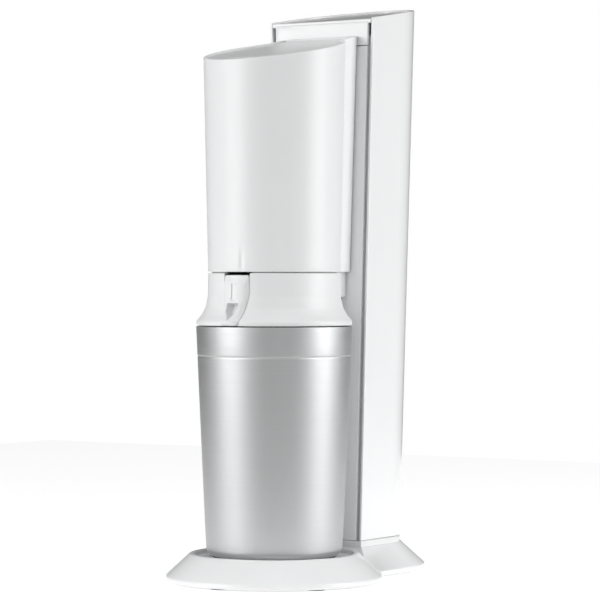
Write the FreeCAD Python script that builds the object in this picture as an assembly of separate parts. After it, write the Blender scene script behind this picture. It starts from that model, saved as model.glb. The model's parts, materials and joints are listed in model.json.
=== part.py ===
import FreeCAD, Part
import math
import os

os.makedirs("parts", exist_ok=True)

# Soda carbonator: a floor-standing kitchen appliance with a round foot, a steel
# canister that holds a glass carafe, a head that slides up a tower, and a gas
# cylinder inside the tower.  Millimetres, +Z up, front is -Y.
# The origin is under the middle of the machine, on the surface it stands on.

V = FreeCAD.Vector
UP = V(0, 0, 1)

# ---------------------------------------------------------------- foot
foot_radius = 78.0
foot_shoulder_radius = 60.5
foot_lip_height = 3.5
foot_height = 20.4
foot_to_back = 161.0            # canister axis to the back of the rear foot
foot_clearance = 1.0            # the shell's edge above the table
shell_wall = 2.5
recess_radius = 57.3
recess_floor = 17.5
rear_foot_height = 21.2
plinth_height = 25.7
rear_foot_flare = 18.0
underplate_thickness = 2.5
rubber_foot_radius = 7.0

# ---------------------------------------------------------------- canister and carafe
canister_top_radius = 56.3
canister_bottom_radius = 49.0
canister_bottom = 18.8
canister_height = 164.6
canister_wall = 1.0
groove_height = 162.0
groove_depth = 0.9
groove_half = 1.6
carafe_radius = 41.0
carafe_height = 246.0
carafe_wall = 3.5
carafe_mouth_radius = 19.0

# ---------------------------------------------------------------- tower
tower_gap = 4.6                 # collar lip to the tower's front face
tower_base_half = 35.0
tower_top_half = 45.7
tower_round_offset = 40.1       # front face to the centre of the round back
tower_round_extra = 5.0         # the back is this much deeper than its half width
tower_front_top = 408.0
tower_slope = 0.15              # rise of the top surface towards the back
cover_wall = 2.0
cover_groove = 2.6
panel_thickness = 2.5
cap_seam = 387.5
seam_gap = 0.6
slot_half = 18.0
slot_bottom = 186.0
lug_depth = 5.0                 # screw lugs behind the front panel
lug_inset = 5.2

# ---------------------------------------------------------------- head
seam_height = 222.0
collar_gap = 0.8
collar_neck_radius = 47.7
collar_flare_height = 20.0
collar_lip = 3.0
head_base_radius = 47.6
head_top_radius = 50.9
head_front_height = 372.7       # height of the rim at the front of the head
head_slope = 0.2
bridge_base_half = 26.7
bridge_top_half = 32.8
throat_half = 22.6              # half width of the collar's rear extension
head_wall = 2.4
drum_radius = 44.6
deck_height = 273.0
deck_thickness = 3.0
plate_thickness = 3.0
plate_drop = 1.2                # top plate below the rim
head_travel = 130.0
running_gap = 0.3

# ---------------------------------------------------------------- lift
rod_radius = 4.0
rod_spacing = 49.0
rod_bottom = 112.0
rod_top = 392.0
bush_wall = 1.5
bush_length = 12.0
running_clearance = 0.05
carriage_bottom = 190.0
carriage_height = 60.0
carriage_plate = 4.0
bracket_thickness = 12.0
spring_wire = 1.2

# ---------------------------------------------------------------- gas
cylinder_radius = 30.0
cylinder_bottom = 20.0
cylinder_length = 354.0
valve_radius = 10.5
valve_length = 34.0
socket_depth = 15.0
block_height = 29.0
hose_radius = 2.5

# ---------------------------------------------------------------- linkage
lever_thickness = 7.0
push_rod_radius = 3.0
pull_rod_radius = 2.0
plunger_radius = 3.0
plunger_proud = 4.1
link_gap = 0.4
latch_half_top = 10.5
latch_half_tip = 7.0
pin_radius = 1.5
latch_pin_radius = 1.2

# ---------------------------------------------------------------- places worked out from the sizes
foot_front = -(foot_radius + foot_to_back) / 2
can_y = foot_front + foot_radius
tower_y = can_y + canister_top_radius + tower_gap
round_y = tower_y + tower_round_offset
back_y = -foot_front
panel_back = tower_y + panel_thickness
head_back = tower_y - running_gap
collar_bottom = canister_bottom + canister_height + 0.6
collar_neck = collar_bottom + collar_flare_height
rim_back = head_front_height + head_slope * (head_back - can_y + head_top_radius)
cylinder_y = round_y + 4.0
cylinder_top = cylinder_bottom + cylinder_length
rod_x = rod_spacing / 2
housing_radius = rod_radius + bush_wall + 1.3
rod_y = panel_back + 0.6 + housing_radius
carriage_front = panel_back + 0.6
carriage_top = carriage_bottom + carriage_height
socket_bottom = cylinder_top - socket_depth
block_top = socket_bottom + block_height
pull_x = 13.5
pull_y = carriage_front + 9.0
lever_x = 5.5
lever_pivot_y = can_y + 15.0
lever_pivot_z = deck_height + deck_thickness + 6.5
lever_z = carriage_top + 10.5
lever_top_lifted = lever_z + 2 + head_travel
hose_long = V(-27.0, rod_y + housing_radius + 5.9, 0)
hose_short = V(-6.0, carriage_front + 5.4, 0)
shelf_y = carriage_front + carriage_plate + 1.0
latch_pin_half = latch_half_top + 3.2


def write(name, shape):
    shape.exportStep("parts/" + name + ".step")


def box(x0, x1, y0, y1, z0, z1):
    return Part.makeBox(x1 - x0, y1 - y0, z1 - z0, V(x0, y0, z0))


def rod(x, y, z0, z1, radius):
    return Part.makeCylinder(radius, z1 - z0, V(x, y, z0), UP)


def bar(x0, x1, y, z, radius):
    return Part.makeCylinder(radius, x1 - x0, V(x0, y, z), V(1, 0, 0))


def tube(x, y, z0, z1, outer, inner):
    return rod(x, y, z0, z1, outer).cut(rod(x, y, z0 - 1, z1 + 1, inner))


def revolve(points, x, y):
    """Solid of revolution about a vertical axis from (radius, height) points."""
    loop = [V(x + r, y, z) for r, z in points]
    face = Part.Face(Part.makePolygon(loop + [loop[0]]))
    return face.revolve(V(x, y, 0), UP, 360)


def smooth_revolve(points, x, y, rounding):
    """Like revolve, with each inner corner of the outline rounded where it has room."""
    loop = [V(r, 0, z) for r, z in points]
    edges = []
    count = len(loop)
    starts, ends = [], []
    for i, corner in enumerate(loop):
        before, after = loop[i - 1], loop[(i + 1) % count]
        room = 0.45 * min((corner - before).Length, (after - corner).Length)
        on_axis = corner.x < 1e-6
        reach = 0.0 if on_axis else min(rounding, room)
        starts.append(corner + (before - corner).normalize() * reach)
        ends.append(corner + (after - corner).normalize() * reach)
    for i, corner in enumerate(loop):
        if (starts[i] - ends[i]).Length > 1e-6:
            curve = Part.BezierCurve()
            curve.setPoles([starts[i], corner, ends[i]])
            edges.append(curve.toShape())
        edges.append(Part.makeLine(ends[i], starts[(i + 1) % count]))
    wire = Part.Wire(Part.__sortEdges__(edges))
    solid = Part.Face(wire).revolve(V(0, 0, 0), UP, 360)
    solid.translate(V(x, y, 0))
    return solid


def tower_half(z):
    share = (z - plinth_height) / (tower_front_top - plinth_height)
    return tower_base_half + (tower_top_half - tower_base_half) * share


def tower_outline(z, half, front, depth):
    """Closed plan outline: flat front, straight sides and an elliptical back."""
    left, right = V(-half, round_y, z), V(half, round_y, z)
    if depth >= half:
        ellipse = Part.Ellipse(V(0, round_y + depth, z), V(half, round_y, z), V(0, round_y, z))
    else:
        ellipse = Part.Ellipse(V(half, round_y, z), V(0, round_y + depth, z), V(0, round_y, z))
    whole = ellipse.toShape()
    keep = box(-2 * half, 2 * half, round_y, round_y + 2 * depth, z - 1, z + 1)
    arcs = whole.common(keep).Edges
    sides = [
        Part.makeLine(left, V(-half, front, z)),
        Part.makeLine(V(-half, front, z), V(half, front, z)),
        Part.makeLine(V(half, front, z), right),
    ]
    return Part.Wire(Part.__sortEdges__(arcs + sides))


def tower_solid(z0, z1, inset, front):
    """The tower's tapered form between two heights, set in by a wall."""
    wires = []
    for z in (z0, z1):
        half = tower_half(z) - inset
        wires.append(tower_outline(z, half, front, half + tower_round_extra))
    return Part.makeLoft(wires, True, True)


def above_plane(height, y, slope):
    """A block that fills everything above a plane rising towards +Y."""
    reach = 400.0
    low = height + slope * (-reach - y)
    high = height + slope * (reach - y)
    side = Part.makePolygon([
        V(-reach, -reach, low), V(-reach, reach, high),
        V(-reach, reach, high + reach), V(-reach, -reach, high + reach), V(-reach, -reach, low),
    ])
    return Part.Face(side).extrude(V(2 * reach, 0, 0))


def tower_above(lowered):
    return above_plane(tower_front_top - lowered, tower_y, tower_slope)


def head_above(lowered):
    return above_plane(head_front_height - lowered, can_y - head_top_radius, head_slope)


def foot_outer(inset, top):
    """Front foot, rear foot and plinth as one outer form, set in by a wall."""
    lip = foot_clearance + foot_lip_height
    front = revolve([
        (0, foot_clearance), (foot_radius - inset, foot_clearance),
        (foot_radius - inset, lip), (foot_shoulder_radius - inset, foot_height - top),
        (0, foot_height - top),
    ], 0, can_y)
    lower = tower_base_half + rear_foot_flare - inset
    upper = tower_base_half + 1.0 - inset
    depth_low = back_y - round_y - inset
    depth_high = upper + tower_round_extra
    front_low = tower_y - rear_foot_flare + inset
    front_high = tower_y - 1.0 + inset
    edge = Part.makeLoft([
        tower_outline(foot_clearance, lower, front_low, depth_low),
        tower_outline(lip, lower, front_low, depth_low),
    ], True, True)
    skirt = Part.makeLoft([
        tower_outline(lip, lower, front_low, depth_low),
        tower_outline(rear_foot_height - top, upper, front_high, depth_high),
    ], True, True)
    return front.fuse([edge, skirt]).removeSplitter()


def boss_places():
    """Where the base screws go: under the front foot and under the rear foot."""
    reach = foot_shoulder_radius - 10
    angles = [math.radians(a) for a in (200, 270, 340)]
    front = [V(reach * math.cos(a), can_y + reach * math.sin(a), 0) for a in angles]
    back = [V(-38, round_y - 5, 0), V(38, round_y - 5, 0), V(0, back_y - 13, 0)]
    return front + back


def make_base():
    shell = foot_outer(0, 0)
    half = tower_base_half
    plinth = Part.makeLoft([
        tower_outline(foot_height - 6, half, tower_y, half + tower_round_extra),
        tower_outline(plinth_height, half, tower_y, half + tower_round_extra),
    ], True, True)
    shell = shell.fuse(plinth)
    hollow = foot_outer(shell_wall, shell_wall + foot_height - recess_floor)
    shell = shell.cut(hollow)
    shell = shell.cut(rod(0, can_y, recess_floor, foot_height + 20, recess_radius))
    well_radius = cylinder_radius + 1.5
    under = foot_clearance + underplate_thickness + 0.5
    well = tube(0, cylinder_y, under, plinth_height, well_radius + 1.8, well_radius)
    shell = shell.fuse(well).cut(rod(0, cylinder_y, 0, plinth_height + 1, well_radius))
    for place in boss_places():
        boss = rod(place.x, place.y, under, recess_floor - 1.5, 4)
        shell = shell.fuse(boss)
    shell = shell.common(box(-200, 200, -200, 200, foot_clearance, plinth_height + 1))
    for place in boss_places():
        shell = shell.cut(rod(place.x, place.y, 0, recess_floor - 3.5, pin_radius + 0.05))
    for x, y in chassis_screw_places():
        shell = shell.cut(rod(x, y, plinth_height - 8, plinth_height + 1, pin_radius + 0.05))
    write("base_shell", shell.removeSplitter())

    low = foot_clearance + 0.5
    high = low + underplate_thickness
    gap = shell_wall + 0.4
    round_part = rod(0, can_y, low, high, foot_radius - gap)
    plan = []
    for z in (low, high):
        lower = tower_base_half + rear_foot_flare - gap
        plan.append(tower_outline(z, lower, tower_y - rear_foot_flare, back_y - round_y - gap))
    plate = round_part.fuse(Part.makeLoft(plan, True, True)).removeSplitter()
    screws = []
    for place in boss_places():
        plate = plate.cut(rod(place.x, place.y, low - 1, high + 1, pin_radius + 0.3))
        plate = plate.cut(rod(place.x, place.y, low - 1, low + 1.5, 3.3))
        head = rod(place.x, place.y, low + 0.1, low + 1.5, 3.0)
        screws.append(head.fuse(rod(place.x, place.y, low + 1.5, recess_floor - 4, pin_radius)))
    write("base_underplate", plate)
    write("base_screws", Part.makeCompound(screws))

    feet = []
    reach = foot_radius - gap - rubber_foot_radius - 1.5
    for angle in (150, 210, 270, 330, 30):
        a = math.radians(angle)
        feet.append(rod(reach * math.cos(a), can_y + reach * math.sin(a), 0, low, rubber_foot_radius))
    for x in (-32, 32):
        feet.append(rod(x, round_y + 28, 0, low, rubber_foot_radius))
    write("rubber_feet", Part.makeCompound(feet))

    pad_radius = canister_bottom_radius - 5
    write("seat_pad", tube(0, can_y, recess_floor, canister_bottom - 0.3, pad_radius, pad_radius - 16))


def chassis_screw_places():
    return [(-24, tower_y + 6), (24, tower_y + 6)]


def rail_outer(z):
    return tower_half(z) - cover_wall - 1.3


def make_chassis():
    rail_wall = 2.2
    rail_back = rod_y + 21
    bottom, top = plinth_height, tower_front_top - 13
    rails = []
    for side in (-1, 1):
        corners = []
        for z in (bottom, top):
            outer = rail_outer(z) * side
            inner = (rail_outer(z) - rail_wall) * side
            corners.append(Part.makePolygon([
                V(inner, panel_back, z), V(outer, panel_back, z),
                V(outer, rail_back, z), V(inner, rail_back, z), V(inner, panel_back, z),
            ]))
        rails.append(Part.makeLoft(corners, True, True))
    chassis = rails[0].fuse(rails[1])

    def shelf(z0, z1, y0, y1):
        half = rail_outer(z0) - rail_wall / 2
        return box(-half, half, y0, y1, z0, z1)

    foot = shelf(bottom, bottom + 4, panel_back, rail_back)
    foot = foot.cut(rod(0, cylinder_y, bottom - 1, bottom + 9, cylinder_radius + 2))
    lower = shelf(rod_bottom, rod_bottom + bracket_thickness, panel_back, rod_y + 5.5)
    lower = lower.cut(rod(0, cylinder_y, rod_bottom - 1, rod_bottom + 20, cylinder_radius + 1.5))
    notch = hose_radius + 1.5
    lower = lower.cut(rod(hose_short.x, hose_short.y, 0, 200, notch))
    table_z = socket_bottom - 7
    table = shelf(table_z, table_z + 5.5, pull_y + pull_rod_radius + 3, cylinder_y + 18)
    table = table.common(tower_solid(table_z - 1, table_z + 9, cover_wall + 1.3, tower_y))
    table = table.cut(box(-14, 14, cylinder_y, 200, 0, 500))
    table = table.cut(rod(0, cylinder_y, 0, 500, 14))
    table = table.cut(rod(hose_long.x, hose_long.y, 0, 500, hose_radius + 1.5))
    upper = shelf(rod_top - 8, rod_top, panel_back, rod_y + 7)
    upper = upper.cut(box(-slot_half, slot_half, 0, 100, 0, 500))
    chassis = chassis.fuse([foot, lower, table, upper])
    for side in (-1, 1):
        chassis = chassis.cut(rod(side * rod_x, rod_y, rod_bottom + 2, rod_top - 2, rod_radius))
    for x, y in chassis_screw_places():
        chassis = chassis.cut(rod(x, y, bottom - 1, bottom + 9, pin_radius + 0.05))
    for z in panel_screw_heights():
        for side in (-1, 1):
            x = side * (rail_outer(z) - lug_inset)
            lug = box(x - 3.2, x + 3.2, panel_back, panel_back + lug_depth, z - 5, z + 5)
            chassis = chassis.fuse(lug)
            hole = Part.makeCylinder(pin_radius, lug_depth + 1, V(x, panel_back - 0.5, z), V(0, 1, 0))
            chassis = chassis.cut(hole)
    write("tower_chassis", chassis.removeSplitter())

    screws = []
    for x, y in chassis_screw_places():
        shank = rod(x, y, bottom - 7, bottom + 4, pin_radius)
        screws.append(shank.fuse(rod(x, y, bottom + 4, bottom + 6, 3)))
    write("chassis_screws", Part.makeCompound(screws))

    for name, side in (("left", -1), ("right", 1)):
        guide = rod(side * rod_x, rod_y, rod_bottom + 2, rod_top - 2, rod_radius)
        write("guide_rod_" + name, guide)
        low = rod_bottom + bracket_thickness
        coil = rod_radius + 0.6 + spring_wire
        spring = tube(side * rod_x, rod_y, low, carriage_bottom - 0.2, coil, rod_radius + 0.6)
        write("lift_spring_" + name, spring)

    buffers = []
    for side in (-1, 1):
        top_z = rod_top - 8
        buffers.append(tube(side * rod_x, rod_y, top_z - 3.5, top_z, 6.3, rod_radius + 0.05))
    write("lift_buffers", Part.makeCompound(buffers))


def panel_screw_heights():
    return [plinth_height + 34, rod_bottom - 12, rod_top - 17]


def panel_half(z):
    return tower_half(z) - cover_wall - cover_groove


def panel_plate(z0, z1):
    rings = []
    for z in (z0, z1):
        half = panel_half(z)
        rings.append(Part.makePolygon([
            V(-half, tower_y, z), V(half, tower_y, z),
            V(half, panel_back, z), V(-half, panel_back, z), V(-half, tower_y, z),
        ]))
    return Part.makeLoft(rings, True, True)


def make_panels():
    panel = panel_plate(plinth_height + 0.3, cap_seam)
    panel = panel.cut(box(-slot_half, slot_half, 0, 100, slot_bottom, cap_seam + 1))
    screws = []
    for z in panel_screw_heights():
        for side in (-1, 1):
            x = side * (rail_outer(z) - lug_inset)
            tip = panel_thickness - 0.8
            shank = Part.makeCylinder(pin_radius, tip + lug_depth, V(x, panel_back - tip, z), V(0, 1, 0))
            head = Part.makeCylinder(2.9, 1.6, V(x, panel_back + lug_depth, z), V(0, 1, 0))
            panel = panel.cut(shank)
            screws.append(head.fuse(shank))
    write("front_panel", panel)
    write("panel_screws", Part.makeCompound(screws))

    high = tower_front_top + 40
    skirt = panel_plate(cap_seam + seam_gap, high)
    lid = tower_solid(cap_seam, high, cover_wall + 0.4, tower_y)
    lid = lid.cut(below_lid())
    skirt = skirt.cut(tower_above(1.0))
    skirt = skirt.cut(box(-slot_half, slot_half, 0, 100, cap_seam, lever_top_lifted + 0.8))
    cap = skirt.fuse(lid.cut(tower_above(1.0))).removeSplitter()
    write("top_cap", cap)


def below_lid():
    """Everything under the inside of the tower's lid."""
    reach = 400.0
    whole = box(-reach, reach, -reach, reach, 0, 2 * reach)
    return whole.cut(tower_above(1.0 + plate_thickness))


def make_rear_cover():
    low, high = plinth_height + 0.3, tower_front_top + 40
    outer = tower_solid(low, high, 0, tower_y)
    inner = tower_solid(low - 5, high + 5, cover_wall, tower_y - 20)
    cover = outer.cut(inner).cut(tower_above(0))
    button_z = tower_front_top - 22
    depth = tower_half(button_z) + tower_round_extra
    window = Part.makeCylinder(9.0, 20, V(0, round_y + depth - 12, button_z), V(0, 1, 0))
    write("rear_cover", cover.cut(window).removeSplitter())
    proud = 0.4
    face = round_y + depth - proud
    cap = Part.makeCylinder(8.6, 5.5, V(0, face - 5.5, button_z), V(0, 1, 0))
    flange = Part.makeCylinder(10.5, 1.6, V(0, face - 6.4, button_z), V(0, 1, 0))
    catch = box(-3, 3, face - 13.5, face - 5, button_z - 2, button_z + 2)
    write("cover_button", cap.fuse([flange, catch]).removeSplitter())


def make_cylinder():
    shoulder = cylinder_top - valve_length - 24
    body = smooth_revolve([
        (0, cylinder_bottom + 5), (18, cylinder_bottom + 3), (24, cylinder_bottom),
        (cylinder_radius, cylinder_bottom + 2), (cylinder_radius, shoulder - 6),
        (cylinder_radius - 7, shoulder + 10), (13, shoulder + 20), (12.0, shoulder + 24),
        (0, shoulder + 24),
    ], 0, cylinder_y, 6.0)
    write("co2_cylinder", body)
    base = cylinder_top - valve_length
    valve = revolve([
        (0, base), (valve_radius + 1.5, base), (valve_radius + 1.5, base + 6),
        (valve_radius, base + 7), (valve_radius, cylinder_top - 1.5),
        (valve_radius - 1.5, cylinder_top), (3.0, cylinder_top),
        (3.0, cylinder_top - 5), (0, cylinder_top - 5),
    ], 0, cylinder_y)
    write("cylinder_valve", valve)


def make_valve_block():
    half = 20.0
    block = box(-half, half, cylinder_y - half, cylinder_y + half, socket_bottom - 1.5, block_top)
    posts = [e for e in block.Edges if abs(e.tangentAt(e.FirstParameter).z) > 0.9]
    block = block.makeFillet(5, posts)
    socket = rod(0, cylinder_y, socket_bottom - 3, cylinder_top + 2.5, valve_radius + 0.3)
    block = block.cut(socket)
    block = block.cut(rod(0, cylinder_y, 0, 500, plunger_radius + running_clearance))
    pivot_y = cylinder_y + half - 3
    pivot_z = block_top + 6.5
    ear_left = box(-7.5, -4.3, pivot_y - 4, pivot_y + 3, block_top - 1, pivot_z + 4)
    ear_right = box(4.3, 7.5, pivot_y - 4, pivot_y + 3, block_top - 1, pivot_z + 4)
    block = block.fuse([ear_left, ear_right])
    block = block.cut(bar(-20, 20, pivot_y, pivot_z, pin_radius))
    block = block.cut(rod(0, cylinder_y, block_top - 10, block_top + 1, plunger_radius + 2.2))
    outlet = box(hose_long.x - 4.5, -half + 1, hose_long.y - 4.5, hose_long.y + 6,
                 block_top - 14, block_top - 4)
    relief = Part.makeCylinder(5.0, 8, V(half + 0.0, cylinder_y + 6, block_top - 14), V(1, 0, 0))
    write("valve_block", block.removeSplitter())
    write("outlet_fitting", outlet.cut(block).fuse(
        rod(hose_long.x, hose_long.y, block_top - 16, block_top - 14, 1.6)).removeSplitter())
    write("safety_valve", relief)
    write("valve_lever_pin", bar(-8.5, 8.5, pivot_y, pivot_z, pin_radius))
    gasket = tube(0, cylinder_y, cylinder_top + 0.2, cylinder_top + 2.5, valve_radius, plunger_radius + 1.5)
    write("cylinder_gasket", gasket)

    plunger = rod(0, cylinder_y, cylinder_top + 0.2, block_top + 1.6, plunger_radius)
    button = revolve([(0, block_top + 0.6), (plunger_radius + 1.8, block_top + 0.6),
                      (plunger_radius + 1.8, block_top + 2.6), (2.0, block_top + plunger_proud),
                      (0, block_top + plunger_proud)], 0, cylinder_y)
    write("valve_plunger", plunger.fuse(button).removeSplitter())
    write("plunger_spring", tube(0, cylinder_y, block_top - 9.9, block_top + 0.5,
                                 plunger_radius + 1.6, plunger_radius + 0.4))

    arm_z = block_top + plunger_proud + link_gap
    arm_top = arm_z + 4
    tongue = box(-4, 4, cylinder_y - 10, pivot_y + 3, arm_z, arm_top)
    reach = Part.makePolygon([
        V(-4, cylinder_y + 4, arm_z), V(-4, cylinder_y - 12, arm_z),
        V(pull_x - 3, pull_y + 6, arm_z), V(pull_x - 3, pull_y - 3, arm_z),
        V(pull_x + 3, pull_y - 3, arm_z), V(pull_x + 3, pull_y + 6, arm_z),
        V(6, cylinder_y + 4, arm_z), V(-4, cylinder_y + 4, arm_z),
    ])
    arm = Part.Face(reach).extrude(V(0, 0, arm_top - arm_z))
    knuckle = bar(-4, 4, pivot_y, pivot_z, 3.2)
    arm = arm.fuse([tongue, knuckle])
    arm = arm.cut(bar(-20, 20, pivot_y, pivot_z, pin_radius + running_clearance))
    arm = arm.cut(rod(pull_x, pull_y, 300, 500, pull_rod_radius + 0.8))
    write("valve_lever", arm.removeSplitter())
    return arm_top, pivot_y, pivot_z


def make_pull_rod(arm_top):
    bottom = lever_z - 4 - link_gap
    shaft = rod(pull_x, pull_y, bottom - 4, arm_top + link_gap + 3, pull_rod_radius)
    nut = rod(pull_x, pull_y, arm_top + link_gap, arm_top + link_gap + 3, 3.0)
    finger = box(lever_x - 5, pull_x + 2.5, shelf_y, pull_y + 2.0, bottom - 4, bottom)
    write("pull_rod", shaft.fuse([nut, finger]).removeSplitter())
    write("pull_rod_guide", pull_guide())


def pull_guide():
    """A bracket on the front of the cylinder table that keeps the pull rod upright."""
    z = socket_bottom - 7
    guide = box(pull_x - 5, pull_x + 3.5, pull_y - 4.5, pull_y + pull_rod_radius + 3, z, z + 5.5)
    return guide.cut(rod(pull_x, pull_y, z - 1, z + 9, pull_rod_radius + running_clearance))


def make_hose():
    start = block_top - 16
    turn = rod_bottom - 22
    a = V(hose_long.x, hose_long.y, start)
    b = V(hose_long.x, hose_long.y, turn)
    c = V(hose_short.x, hose_short.y, turn)
    d = V(hose_short.x, hose_short.y, carriage_bottom - 3)
    radius = (b - c).Length / 2
    low = (b + c) * 0.5 - V(0, 0, radius)
    path = Part.Wire([Part.makeLine(a, b), Part.Arc(b, low, c).toShape(), Part.makeLine(c, d)])
    ring = Part.Wire([Part.makeCircle(hose_radius, a, UP)])
    hose = path.makePipeShell([ring], True, False)
    write("gas_hose", hose)


def head_round(z0, z1, outset):
    """The tapered round form of the head between two heights."""
    rise = (head_top_radius - head_base_radius) / (head_front_height - seam_height)
    r0 = head_base_radius + rise * (z0 - seam_height) + outset
    r1 = head_base_radius + rise * (z1 - seam_height) + outset
    return Part.makeCone(r0, r1, z1 - z0, V(0, can_y, z0), UP)


def bridge_half(z):
    share = (z - seam_height) / (rim_back - seam_height)
    return bridge_base_half + (bridge_top_half - bridge_base_half) * share


def bridge_solid(z0, z1, outset, back):
    rings = []
    for z in (z0, z1):
        half = bridge_half(z) + outset
        rings.append(Part.makePolygon([
            V(-half, can_y + 20, z), V(half, can_y + 20, z),
            V(half, back, z), V(-half, back, z), V(-half, can_y + 20, z),
        ]))
    return Part.makeLoft(rings, True, True)


def collar_profile():
    lip = collar_bottom + collar_lip
    neck = collar_neck_radius
    flare = canister_top_radius
    wall = 2.6
    return [
        (flare - wall - 0.4, collar_bottom), (flare - 0.5, collar_bottom),
        (flare, lip), (neck + 2.2, lip + 8.5), (neck, collar_neck),
        (neck - 0.1, seam_height - collar_gap / 2), (drum_radius - head_wall, seam_height - collar_gap / 2),
        (drum_radius - head_wall, collar_neck + 4), (neck - wall, collar_neck - 1.5),
        (neck + 2.2 - wall, lip + 6.5), (flare - wall, lip),
    ]


def latch_outline(outset, depth):
    """The tapered tab in the middle of the collar's front, as a block through the wall."""
    top = seam_height - collar_gap / 2 - 1.4 + outset
    shoulder = collar_neck + 2
    low = collar_bottom + 0.4 - outset
    half, tip = latch_half_top + outset, latch_half_tip + outset
    front = can_y - canister_top_radius - 6
    loop = [V(-half, front, top), V(half, front, top), V(half, front, shoulder),
            V(tip, front, low), V(-tip, front, low), V(-half, front, shoulder), V(-half, front, top)]
    return Part.Face(Part.makePolygon(loop)).extrude(V(0, depth, 0))


def latch_pivot():
    return can_y - collar_neck_radius + 4.6, seam_height - 7.5


def claw_places():
    return collar_neck_radius - 3.5, collar_neck - 12.0


def make_head_body():
    top = rim_back + 30
    collar = revolve(collar_profile(), 0, can_y)
    drum = tube(0, can_y, collar_neck + 4, head_front_height - 20, drum_radius, drum_radius - head_wall)
    drum = drum.fuse(spring_shelf()).fuse(push_rod_guide())
    deck = rod(0, can_y, deck_height, deck_height + deck_thickness, drum_radius - head_wall / 2)
    bridge = bridge_solid(seam_height + collar_gap / 2, top, 0, head_back)
    throat = box(-throat_half, throat_half, can_y + 20, head_back,
                 collar_neck, seam_height + 4)
    inner_bridge = bridge_solid(seam_height + collar_gap / 2 + head_wall, top + 5, -head_wall,
                                head_back - head_wall)
    inner_throat = box(-throat_half + head_wall, throat_half - head_wall, can_y + 10,
                       head_back - head_wall, collar_neck + head_wall, seam_height + 8)
    shell = bridge.fuse(throat).cut(inner_bridge).cut(inner_throat)
    shell = shell.cut(rod(0, can_y, 0, 600, drum_radius - head_wall / 2))
    drum_top = head_front_height - 20
    shell = shell.cut(head_round(drum_top, top + 9, -head_wall))
    inside = rod(0, can_y, collar_neck + 1, deck_height, drum_radius - head_wall)
    body = collar.fuse([drum, shell]).cut(inside).fuse(deck)
    body = body.cut(head_above(0))
    pipe = gas_pipe(pipe_height(), 0.4)
    body = body.cut(pipe)
    behind_drum = can_y + drum_radius + 1
    body = body.cut(box(lever_x - 6, lever_x + 6, behind_drum, tower_y + 5, lever_z - 11, lever_z + 6))
    deck_top = deck_height + deck_thickness
    body = body.cut(box(lever_x - 6, lever_x + 6, behind_drum - 8, behind_drum + 1, deck_top, deck_top + 14))
    body = body.cut(latch_outline(0.5, 27))
    pivot_y, pivot_z = latch_pivot()
    swing_room = latch_half_top + 0.5
    body = body.cut(box(-swing_room, swing_room, pivot_y - 8, pivot_y + 8, pivot_z, seam_height + 1))
    body = body.cut(bar(-latch_pin_half, latch_pin_half, pivot_y, pivot_z, latch_pin_radius))
    radius, claw_z = claw_places()
    for side in (-1, 1):
        for y in (-9.0, 6.6):
            x0, x1 = sorted((side * (radius - 3.0), side * (radius + 5.0)))
            ear = box(x0, x1, can_y + y, can_y + y + 2.4, claw_z - 3.5, collar_neck)
            limit = rod(0, can_y, claw_z - 9, collar_neck + 9, collar_neck_radius - 1.0)
            body = body.fuse(ear.common(limit))
        pin_hole = Part.makeCylinder(pin_radius, 18, V(side * radius, can_y - 9, claw_z), V(0, 1, 0))
        body = body.cut(pin_hole)
    push_y = push_rod_y()
    body = body.cut(rod(lever_x, push_y, deck_height - 1, deck_height + 9, push_rod_radius + running_clearance))
    body = body.cut(rod(0, can_y, deck_height - 1, deck_height + 9, 7.0))
    for side in (-1, 1):
        x = lever_x + side * (lever_thickness / 2 + 2.0)
        lug = box(x - 1.6, x + 1.6, lever_pivot_y - 4, lever_pivot_y + 4, deck_top - 0.5, lever_pivot_z + 4)
        body = body.fuse(lug)
    body = body.cut(bar(lever_x - 8, lever_x + 8, lever_pivot_y, lever_pivot_z, pin_radius))
    hinge_y, hinge_z = plate_hinge()
    half = bridge_half(hinge_z)
    body = body.cut(bar(-half + 0.8, half - 0.8, hinge_y, hinge_z, pin_radius))
    for x, z in head_screw_places():
        body = body.cut(Part.makeCylinder(pin_radius, 9, V(x, head_back - 6, z), V(0, 1, 0)))
    write("head_body", body.removeSplitter())


def push_rod_y():
    return lever_pivot_y + 20.0


def head_screw_places():
    return [(x, carriage_bottom + z) for x in (-11, 11) for z in (22, 36)]


def plate_hinge():
    y = head_back - head_wall - 5.5
    return y, head_front_height + head_slope * (y - can_y + head_top_radius) - plate_drop - 4.0


def make_front_cover():
    low = seam_height + collar_gap / 2
    high = rim_back + 10
    cover = head_round(low, high, 0).cut(head_round(low - 1, high + 1, -head_wall))
    cover = cover.cut(head_above(0))
    cover = cover.cut(bridge_solid(low - 2, high + 2, running_gap, head_back + 60))
    write("head_front_cover", cover.removeSplitter())


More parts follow.
